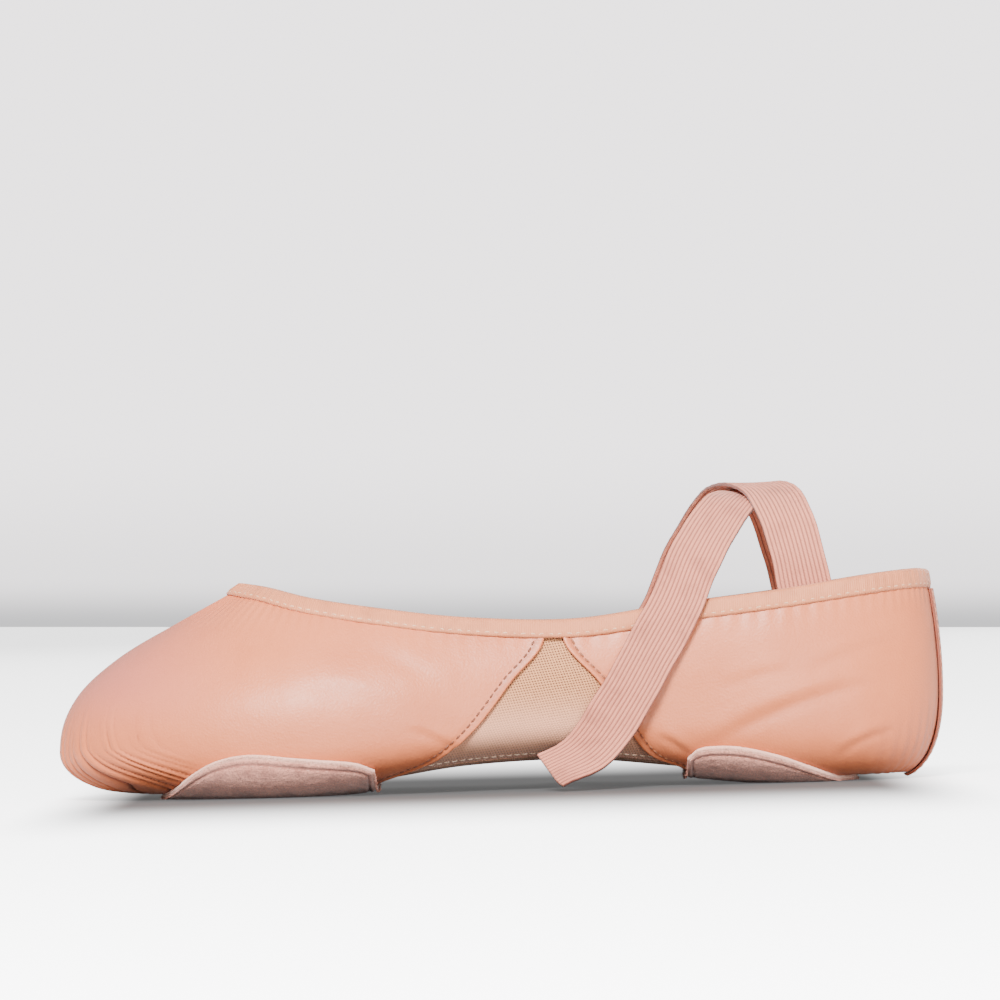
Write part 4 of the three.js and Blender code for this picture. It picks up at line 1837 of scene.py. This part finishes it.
@dataclass
class Pad:
    """A suede sole pad, cut to an outline and wrapped round the sole."""

    name: str
    outline: Knots
    body: Body
    node: str
    columns: int = 150
    rows: int = 150
    inset: float = 2.3

    def stations(self, share: Array) -> tuple[Array, Array]:
        """Distance from the toe and half width, as a height share, along the pad's outline.

        Args:
            share: Shares of the way along the outline.

        Returns:
            The distances and the half widths.
        """
        first, last = self.outline[0][0], self.outline[-1][0]
        x = first + (last - first) * (1 - np.cos(math.pi * share)) / 2
        return x, LAST.up_at_girth(x, between(self.outline, x))

    def build(self, suede: bpy.types.Material) -> None:
        """Makes and dresses the pad, its stitches and its fuzzy cut edge.

        Args:
            suede: The pad's finish.
        """
        share = np.linspace(0, 1, self.columns + 1)
        x, reach = self.stations(share)
        spread = np.linspace(-1, 1, self.rows + 1)
        spread = spread * (1.12 - 0.12 * np.abs(spread) ** 6) / (1.12 - 0.12)
        spread = np.clip(spread / spread[-1], -1, 1)
        ups = reach[:, None] * spread[None, :]
        around = LAST.around_at(np.broadcast_to(x[:, None], ups.shape), np.abs(ups))
        base = LAST.layer(around, ups, THICK.floor)
        edge = self.from_edge(base)
        ditch = 0.34 * edge_dip(edge, self.inset, 0.55)
        nap = 0.10 * cloud(base, 1.6, 3) + 0.06 * cloud(base, 0.8, 4)
        lie = 0.30 * (1 - smooth(0.0, 1.3, edge))
        outer = LAST.layer(around, ups, THICK.floor - ditch + nap - lie * 1.5)
        inner = LAST.layer(around, ups, THICK.sole_gap - lie * 1.6)
        outer[..., 2] = np.maximum(outer[..., 2], 0.02)
        # Paler towards the cut edge, with painted shade in the stitch ditch.
        paler_rim, ditch_shade = 0.7 * (1 - smooth(0.1, 1.1, edge)), 0.72 * edge_dip(edge, self.inset, 0.45)
        numbers = {"edge": paler_rim, "fold": ditch_shade}
        piece = rounded_shell(outer, inner, numbers, bulge=0.8).piece(self.name, suede)
        ride_on(piece, self.body, "suede", self.node)
        self.sew()
        self.fuzz(base, suede)

    @staticmethod
    def from_edge(base: Array) -> Array:
        """Distance of each point of the pad from its nearest cut edge, in millimetres.

        Args:
            base: The pad's points, rows by columns.

        Returns:
            The distances.
        """
        across = run_along(base, 1)
        sides = np.minimum(across, across[:, -1:] - across)
        along = run_along(base)
        ends = np.minimum(along, along[-1:] - along)
        return np.minimum(sides, ends)

    def ring(self, inset: float, offset: float, count: int = 400) -> tuple[Array, Array]:
        """A closed line round the pad, inside its cut edge.

        Args:
            inset: Millimetres in from the edge.
            offset: Offset of the line outside the upper.
            count: Points on the line.

        Returns:
            The line's points and the directions that face out.
        """
        share = (1 - np.cos(np.linspace(0, math.pi, count // 2))) / 2
        x, reach = self.stations(share)
        first, last = self.outline[0][0], self.outline[-1][0]
        squeeze = (last - first - 2 * inset) / (last - first)
        x = (first + last) / 2 + (x - (first + last) / 2) * squeeze
        girth = between(self.outline, x) - inset * 1.02
        reach = LAST.up_at_girth(x, np.maximum(girth, 0.5))
        front = np.linspace(-1, 1, 24)[1:-1]
        parts = [(x, reach), (np.full(22, x[-1]), -reach[-1] * front), (x[::-1], -reach[::-1]),
                 (np.full(22, x[0]), reach[0] * front)]
        places, ups = (np.concatenate([p[k] for p in parts]) for k in (0, 1))
        around = LAST.around_at(places, np.abs(ups))
        points, out = seam_line(around, ups, offset)
        points[:, 2] = np.maximum(points[:, 2], 0.12)
        return np.vstack([points, points[:1]]), np.vstack([out, out[:1]])

    def sew(self) -> None:
        """The sunk stitch row inside the cut edge."""
        thread = Thread(self.name + "_thread", srgb(206, 150, 130), srgb(120, 74, 58)).material()
        row = Stitch(length=1.5, pitch=2.5, thickness=0.3, rise=0.10)
        stitches = row.row(self.name + "_stitches", [self.ring(self.inset, THICK.floor - 0.24)], thread)
        ride_on(stitches, self.body, "suede")

    def fuzz(self, base: Array, suede: bpy.types.Material) -> None:
        """Short fibres that stand out of the cut edge.

        Args:
            base: The pad's points, rows by columns.
            suede: The pad's finish.
        """
        border = np.concatenate([base[:, -1], base[-1, ::-1], base[::-1, 0], base[0]])
        centre = base.mean(axis=(0, 1))
        out = unit(border - centre) + (0, 0, 0.35)
        border[:, 2] = np.maximum(border[:, 2] - 0.15, 0.3)
        fibres = grown(self.name + "_fibres", fibre_tree(), [(border, out)], suede, {
            "Pitch": 0.09 * MM, "Length": 1.0 * MM, "Thickness": 0.06 * MM,
        })
        ride_on(fibres, self.body, "suede")


@dataclass
class Binding:
    """Folded tape that covers the topline all round, with its stitch row."""

    width: float = 4.4
    steps: int = 720
    sides: int = 9

    def outline(self, around: Array) -> tuple[Array, Array]:
        """Cross sections of the tape, a narrow U over the edge, at places round the topline.

        Args:
            around: Places round the topline.

        Returns:
            Points of each cross section, and painted shade along the tape's lower edge.
        """
        outside = THICK.gap + THICK.tape
        inside = -(THICK.leather + THICK.gap + THICK.lining + THICK.gap + THICK.tape)
        middle, radius = (outside + inside) / 2, (outside - inside) / 2
        thin = radius - THICK.tape
        downs = np.linspace(self.width, 0.0, self.sides)
        wave = 0.10 * np.sin(around * 520) + 0.06 * np.sin(around * 213 + 1)
        rows = []
        for down in downs:
            sag = -0.42 * float(smooth(self.width - 1.6, self.width, down))
            ripple = wave * (1 - 0.8 * down / self.width)
            rows.append(LAST.below_topline(around, down, outside + sag + ripple))
        for turn in np.radians([25, 50, 75, 90, 105, 130, 155]):
            down = -radius * math.sin(turn) * 0.62
            rows.append(LAST.below_topline(around, down, middle + radius * math.cos(turn)))
        for down in downs[::-1]:
            rows.append(LAST.below_topline(around, down, inside + wave * 0))
        for down in downs[:-1]:
            rows.append(LAST.below_topline(around, down, inside + THICK.tape))
        for turn in np.radians([150, 110, 70, 30]):
            down = -thin * math.sin(turn) * 0.3
            rows.append(LAST.below_topline(around, down, middle + thin * math.cos(turn)))
        for down in downs[::-1][1:]:
            press = 0.36 * float(smooth(self.width - 1.6, self.width, down))
            rows.append(LAST.below_topline(around, down, outside - THICK.tape - press))
        points = np.stack(rows, 1)
        fold = np.zeros(points.shape[:2])
        # Painted shade along the lower edge of the tape's outer face.
        fold[:, 0] = 0.25
        return points, fold

    def build(self) -> None:
        """Makes and dresses the binding and its stitches."""
        around = np.arange(self.steps) * (2 / self.steps)
        outlines, fold = self.outline(around)
        spine = outlines[:, self.sides]
        along = np.broadcast_to(run_along(spine)[:, None], fold.shape)
        tape = Web("binding_tape", srgb(208, 124, 80), srgb(140, 76, 42), weft=0.6, shine=0.5).material()
        piece = swept(outlines, True, {"along": along, "fold": fold}).piece("binding_tape_edge", tape)
        stretch_over(piece, "binding", "topline_binding")
        thread = Thread("cream_thread", srgb(226, 176, 138), srgb(164, 110, 76)).material()
        around = np.linspace(0, 2, 1600)
        line = LAST.below_topline(around, self.width - 1.0, THICK.gap + THICK.tape - 0.30)
        out = LAST.normal(around, np.full(around.shape, 0.96))
        row = Stitch(length=2.1, pitch=2.45, thickness=0.46, rise=0.2, slant=0.13)
        stretch_over(row.row("binding_stitches", [(line, out)], thread), "binding")


@dataclass
class Strap:
    """One crossing elastic: sewn inside its own side, over the instep, and hanging down the other."""

    name: str
    root: int
    under: float
    bodies: tuple[Body, Body]
    width: float = 14.5
    rise: float = 25.0
    heel_height: float = 57.0
    sewn_height: float = 53.5
    end_twist: float = 0.5
    tail_start: float = 0.655
    ribs: int = 13
    steps: int = 300
    rib_points: int = 5

    def route(self) -> Array:
        """The elastic's centre line, as given places, in millimetres about the origin.

        Returns:
            The places.
        """
        def half_width(x: float) -> float:
            """Half width of the topline at a distance from the toe."""
            return float(LAST.point(LAST.around_at(np.array(x), np.array(1.0)), 1.0)[..., 1])

        t = THICK
        root = half_width(211.5) - t.leather - t.lining - t.tape - 2 * t.gap - t.strap_gap - t.strap / 2
        tail = half_width(169.2) + t.gap + t.tape + t.strap_gap + t.strap / 2 + 0.6
        top = self.heel_height + self.rise - t.strap / 2 - self.under

        def drop(share: float) -> float:
            """Height of a share of the way from the sewn end up to the crossing."""
            return self.sewn_height + (top - self.sewn_height) * share

        points = np.array([
            (206.8, root + 3.2, 40),
            (205.4, root + 1, 47.5),
            (204.3, root - 0.1, self.sewn_height),
            (202.4, root + 0.4, drop(0.34)),
            (200, root * 0.88, drop(0.66)),
            (196.4, root * 0.47, drop(0.92)),
            (191, 0, top),
            (186, -root * 0.47, drop(0.92)),
            (180.2, -root * 0.88, drop(0.66)),
            (174.2, -root * 0.45 - tail * 0.55, drop(0.28)),
            (169.2, -tail, 49.5),
            (162, -tail - 2.4, 37),
            (154, -tail - 4.6, 23.6),
            (144.4, -tail - 7.2, 11),
            (133.6, -tail - 9, 5.4),
        ])
        return points * (1, self.root, 1) - (MIDDLE, 0, 0)

    def path(self) -> Array:
        """The route as a fine line with even steps.

        Returns:
            The points.
        """
        p = self.route()
        p = np.vstack([2 * p[0] - p[1], p, 2 * p[-1] - p[-2]])
        w = np.linspace(0, 1, 60, endpoint=False)[:, None]
        spans = []
        for a, b, c, d in zip(p, p[1:], p[2:], p[3:]):
            t0, t1, t2 = (np.linalg.norm(v) ** 0.5 for v in (b - a, c - b, d - c))
            start = ((b - a) / t0 - (c - a) / (t0 + t1) + (c - b) / t1) * t1
            end = ((c - b) / t1 - (d - b) / (t1 + t2) + (d - c) / t2) * t1
            bend = 3 * (c - b) - 2 * start - end
            spans.append(b + w * (start + w * (bend + w * (2 * (b - c) + start + end))))
        fine = np.vstack([*spans, p[-2:-1]])
        run = np.concatenate([[0], np.cumsum(np.linalg.norm(np.diff(fine, axis=0), axis=1))])
        even = np.linspace(0, run[-1], self.steps + 1)
        return np.stack([np.interp(even, run, fine[:, k]) for k in range(3)], 1)

    def frames(self, path: Array) -> tuple[Array, Array]:
        """Face and width directions along the path.

        Args:
            path: The elastic's centre line.

        Returns:
            The two directions at each point.
        """
        run = unit(np.gradient(path, axis=0))
        face = unit(np.stack([run[:, 0] * 0, self.root * run[:, 2], -self.root * run[:, 1]], 1))
        face = unit(face - run * np.einsum("ij,ij->i", face, run)[:, None])
        share = np.linspace(0, 1, len(path))
        angle = (self.root * self.end_twist * smooth(0.82, 1, share))[:, None]
        face = face * np.cos(angle) + np.cross(run, face) * np.sin(angle)
        return face, np.cross(run, face)

    def build(self, web: bpy.types.Material) -> None:
        """Makes and dresses the elastic as one ribbed band.

        Args:
            web: The elastic's finish.
        """
        path = self.path()
        face, width = self.frames(path)
        count = self.ribs * self.rib_points + 1
        across = np.linspace(-1, 1, count)
        rib = np.abs(np.sin(np.linspace(0, math.pi * self.ribs, count)))
        edge = smooth(0.86, 0.99, np.abs(across))
        thick = THICK.strap / 2 * (0.5 + 0.5 * np.maximum(rib**0.6, edge * 0.9))
        thick[[0, -1]] *= 0.7
        share = np.linspace(0, 1, len(path))
        ripple = 0.05 * np.sin(share * 330)
        wander = 1 + 0.012 * np.sin(share * 37 + self.root) + 0.008 * np.sin(share * 83)
        cut = np.clip((share - 0.985) / 0.015, 0, 1)
        half = self.width / 2 * wander
        sides = []
        for sign in (1, -1):
            order = across if sign > 0 else across[::-1]
            depth = thick if sign > 0 else thick[::-1]
            corner = np.clip(-order, 0, 1)[None, :] ** 5 * cut[:, None] * 0.9
            place = path[:, None] + width[:, None] * (order * half[:, None])[..., None]
            run = unit(np.gradient(path, axis=0))[:, None]
            place = place + face[:, None] * (sign * depth[None, :] + ripple[:, None] * edge)[..., None]
            sides.append(place - run * corner[..., None])
        outlines = np.concatenate(sides, 1)
        # Painted shade in the grooves between the ribs.
        groove = 1 - smooth(0.1, 0.75, rib)
        fold = np.concatenate([groove, groove[::-1]]) * 0.85
        length = float(np.linalg.norm(np.diff(path, axis=0), axis=1).sum())
        along = np.broadcast_to((share * length)[:, None], outlines.shape[:2])
        numbers = {"along": along, "fold": np.broadcast_to(fold, outlines.shape[:2])}
        piece = swept(outlines, False, numbers).piece(self.name + "_elastic", web)
        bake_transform(piece)
        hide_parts(self.name + "_strap", self.name + "_strap_tail")
        log.info("%s is %.1f mm long", piece.name, length)


@dataclass
class Seams:
    """Stitch rows of the upper: leather edges at the mesh, the mesh's hem and the back strip."""

    inset: float = 1.7
    low: float = 0.2
    high: float = 0.905

    def edge_row(self, name: str, edge: Knots, shift: float, body: Body,
                 tones: tuple[Colour, Colour]) -> None:
        """One row on each side along a leather edge at the arch.

        Args:
            name: Its name.
            edge: Heights of the edge, each with its distance from the toe.
            shift: How far the edge is moved toward the heel, in millimetres.
            body: The body it rides on.
            tones: Light and dark tones of the thread.
        """
        up = np.linspace(self.low, self.high, 300)
        lines = both_sides(LAST.around_edge(edge, shift, up), up, 0.02)
        thread = Thread(name + "_thread", *tones).material()
        row = Stitch(length=1.5, pitch=2.05, thickness=0.62, rise=0.12)
        ride_on(row.row(name + "_stitches", lines, thread), body, "leather")

    def hem(self) -> None:
        """The pale row above the mesh's smooth lower edge."""
        up = np.full(160, Arch.sling_edge + 0.045)
        front, rear = LAST.around_edge(VAMP_EDGE, 1.2, up), LAST.around_edge(QUARTER_EDGE, -1.2, up)
        lines = both_sides(mix(rear, front, np.linspace(0, 1, 160)), up, THICK.under_leather + 0.1)
        thread = Thread("hem_thread", srgb(238, 204, 178), srgb(200, 156, 126)).material()
        row = Stitch(length=1.5, pitch=2.1, thickness=0.34, rise=0.12)
        stretch_over(row.row("mesh_hem_stitches", lines, thread), "mesh")

    def back(self) -> None:
        """A row down each side of the strip over the back seam."""
        top = float(LAST.up_below(np.array(0.0), Binding.width + 1.5))
        up = np.linspace(0.16, top, 200)
        lines = both_sides(strip_line(4.6, up), up, THICK.gap + THICK.back_tape - 0.02)
        thread = Thread("back_thread", srgb(196, 140, 112), srgb(120, 76, 54)).material()
        row = Stitch(length=1.6, pitch=2.3, thickness=0.3, rise=0.1)
        ride_on(row.row("back_strip_stitches", lines, thread), Body.HEEL, "leather")

    def build(self) -> None:
        """Sews every row of the upper."""
        brown, dark = srgb(124, 66, 36), srgb(64, 30, 16)
        self.edge_row("front_edge", VAMP_EDGE, -self.inset, Body.FOREFOOT, (brown, dark))
        self.edge_row("rear_edge", QUARTER_EDGE, self.inset, Body.HEEL, (srgb(146, 82, 46), brown))
        self.hem()
        self.back()


@dataclass
class Studio:
    """Pale floor and wall, soft lights and the camera, in metres."""

    camera_height: float = 0.0495
    distance: float = 1.6
    aim: tuple[float, float] = ((122.5 - 121.25) * MM, 0.0791)
    view_width: float = 0.2743
    sensor: float = 36.0
    roll: float = math.radians(1.61)
    size: float = 60.0
    depth: float = 130.0
    wall_near: tuple[float, float] = (0.83, 6.3)
    wall_far: tuple[float, float] = (-10.0, 99.0)
    wall_height: float = 60.0
    floor_tone: Colour = srgb(240, 240, 241)
    shade_tone: Colour = (0.035, 0.035, 0.036)
    shade_ahead: tuple[float, float] = (52, 300)
    shade_behind: tuple[float, float] = (80, 420)
    shade_beside: tuple[float, float] = (98, 128)
    floor_glow: float = 3.7
    floor_fall: float = 1.35
    far_floor: tuple[float, float] = (900, 11000)
    wall_tone: Colour = (3.0, 2.85, 2.9)
    wall_foot_shade: Colour = (0.95, 0.95, 0.97)
    lights: tuple[tuple[str, tuple[float, float, float], float, float], ...] = (
        ("key", (-0.2, -1.45, 1.0), 0.5, 90),
        ("top", (0.1, 0.25, 1.3), 0.9, 6),
        ("fill", (1.1, -1.0, 0.35), 0.8, 3),
        ("low", (0.3, -1.25, 0.1), 0.4, 10),
    )

    def camera(self) -> None:
        """A long lens from the slipper's left side, a little above the floor."""
        data = bpy.data.cameras.new("camera")
        data.sensor_width = self.sensor
        data.lens = self.sensor * self.distance / self.view_width
        data.clip_end = 200
        thing = bpy.data.objects.new("camera", data)
        bpy.context.scene.collection.objects.link(thing)
        spot = Vector((self.aim[0], -self.distance, self.camera_height))
        look = Vector((self.aim[0], 0, self.aim[1])) - spot
        turn = look.to_track_quat("-Z", "Y").to_matrix().to_4x4()
        thing.matrix_world = Matrix.Translation(spot) @ turn @ Matrix.Rotation(-self.roll, 4, "Z")
        bpy.context.scene.camera = thing

    def sheet(self, name: str, corners: Sequence[tuple[float, float, float]],
              material: bpy.types.Material) -> None:
        """One flat stage piece.

        Args:
            name: Its name.
            corners: Its corners, in metres.
            material: Its finish.
        """
        mesh = bpy.data.meshes.new(name)
        mesh.from_pydata(corners, [], [(0, 1, 2, 3)])
        mesh.materials.append(material)
        thing = bpy.data.objects.new(name, mesh)
        bpy.context.scene.collection.objects.link(thing)

    def room(self) -> None:
        """The floor and the wall behind it."""
        half = self.size / 2
        s = Shade("studio_floor")
        ahead, behind = s.axis("Y") * -1, s.axis("Y")
        # Painted shadow: the floor is dark under and around the slipper, and glows for the camera only,
        # dimmer far away.
        under = (1 - ahead.step(*self.shade_ahead)) * (1 - behind.step(*self.shade_behind))
        under = under * (1 - s.axis("X").maths("ABSOLUTE").step(*self.shade_beside))
        seen = s.seen()
        glow = seen * (1 - under * 0.97) * (self.floor_glow - behind.step(*self.far_floor) * self.floor_fall)
        tone = s.blend(self.floor_tone, self.shade_tone, under)
        floor = s.finish(tone, 0.85, Emission_Color=(1.0, 1.0, 1.0), Emission_Strength=glow)
        corners = [(-half, -half, 0), (half, -half, 0), (half, self.depth, 0), (-half, self.depth, 0)]
        self.sheet("floor", corners, floor)
        s = Shade("studio_wall")
        away = s.axis("Y") * MM + self.distance
        climb = (s.axis("Z") * MM - self.camera_height + s.axis("X") * MM * math.tan(self.roll)) / away
        # Painted shade: the wall glows for the camera only and is darker towards the floor.
        level = climb.step(-0.003, 0.0055) * 0.62 + climb.step(0.002, 0.03) * 0.38
        seen = s.seen()
        shine = s.node("ShaderNodeEmission", sockets={
            "Color": s.blend(self.wall_foot_shade, self.wall_tone, level), "Strength": seen,
        })
        out = s.node("ShaderNodeOutputMaterial")
        s.tree.links.new(shine.outputs[0], out.inputs["Surface"])
        (x0, y0), (x1, y1), top = self.wall_near, self.wall_far, self.wall_height
        self.sheet("wall", [(x1, y1, 0), (x0, y0, 0), (x0, y0, top), (x1, y1, top)], s.material)

    def light(self, name: str, place: tuple[float, float, float], width: float, power: float) -> None:
        """One soft square light that faces the slipper.

        Args:
            name: Its name.
            place: Where it stands, in metres.
            width: Its width, in metres.
            power: Its power, in watts.
        """
        data = bpy.data.lights.new(name, "AREA")
        data.shape, data.size, data.energy = "SQUARE", width, power
        thing = bpy.data.objects.new(name, data)
        bpy.context.scene.collection.objects.link(thing)
        thing.location = place
        thing.rotation_euler = (Vector((0, 0, 0.03)) - Vector(place)).to_track_quat("-Z", "Y").to_euler()

    def build(self) -> None:
        """Makes the studio."""
        self.camera()
        self.room()
        for light in self.lights:
            self.light(*light)
        world = bpy.data.worlds.new("soft_room")
        world.use_nodes = True
        background = world.node_tree.nodes["Background"]
        background.inputs["Color"].default_value = (1, 1, 1, 1)
        background.inputs["Strength"].default_value = 0.5
        bpy.context.scene.world = world


def main() -> None:
    """Builds the slipper and its studio, and reports each piece."""
    logging.basicConfig(level=logging.INFO, format="%(name)s: %(message)s")
    Studio().build()
    Forefoot().build()
    Heel().build()
    Arch().build()
    suede = Suede().material()
    Pad("toe_suede_pad", FOREFOOT_PAD, Body.FOREFOOT, "forefoot_outsole").build(suede)
    Pad("heel_suede_pad", HEEL_PAD, Body.HEEL, "heel_outsole").build(suede)
    Binding().build()
    Seams().build()
    web = Web("ribbed_elastic", srgb(216, 132, 104), srgb(92, 36, 26)).material()
    Strap("left", -1, 0.0, (Body.LEFT_ELASTIC, Body.LEFT_TAIL)).build(web)
    Strap("right", 1, THICK.strap + THICK.crossing_gap, (Body.RIGHT_ELASTIC, Body.RIGHT_TAIL)).build(web)


if __name__ == "__main__":
    main()
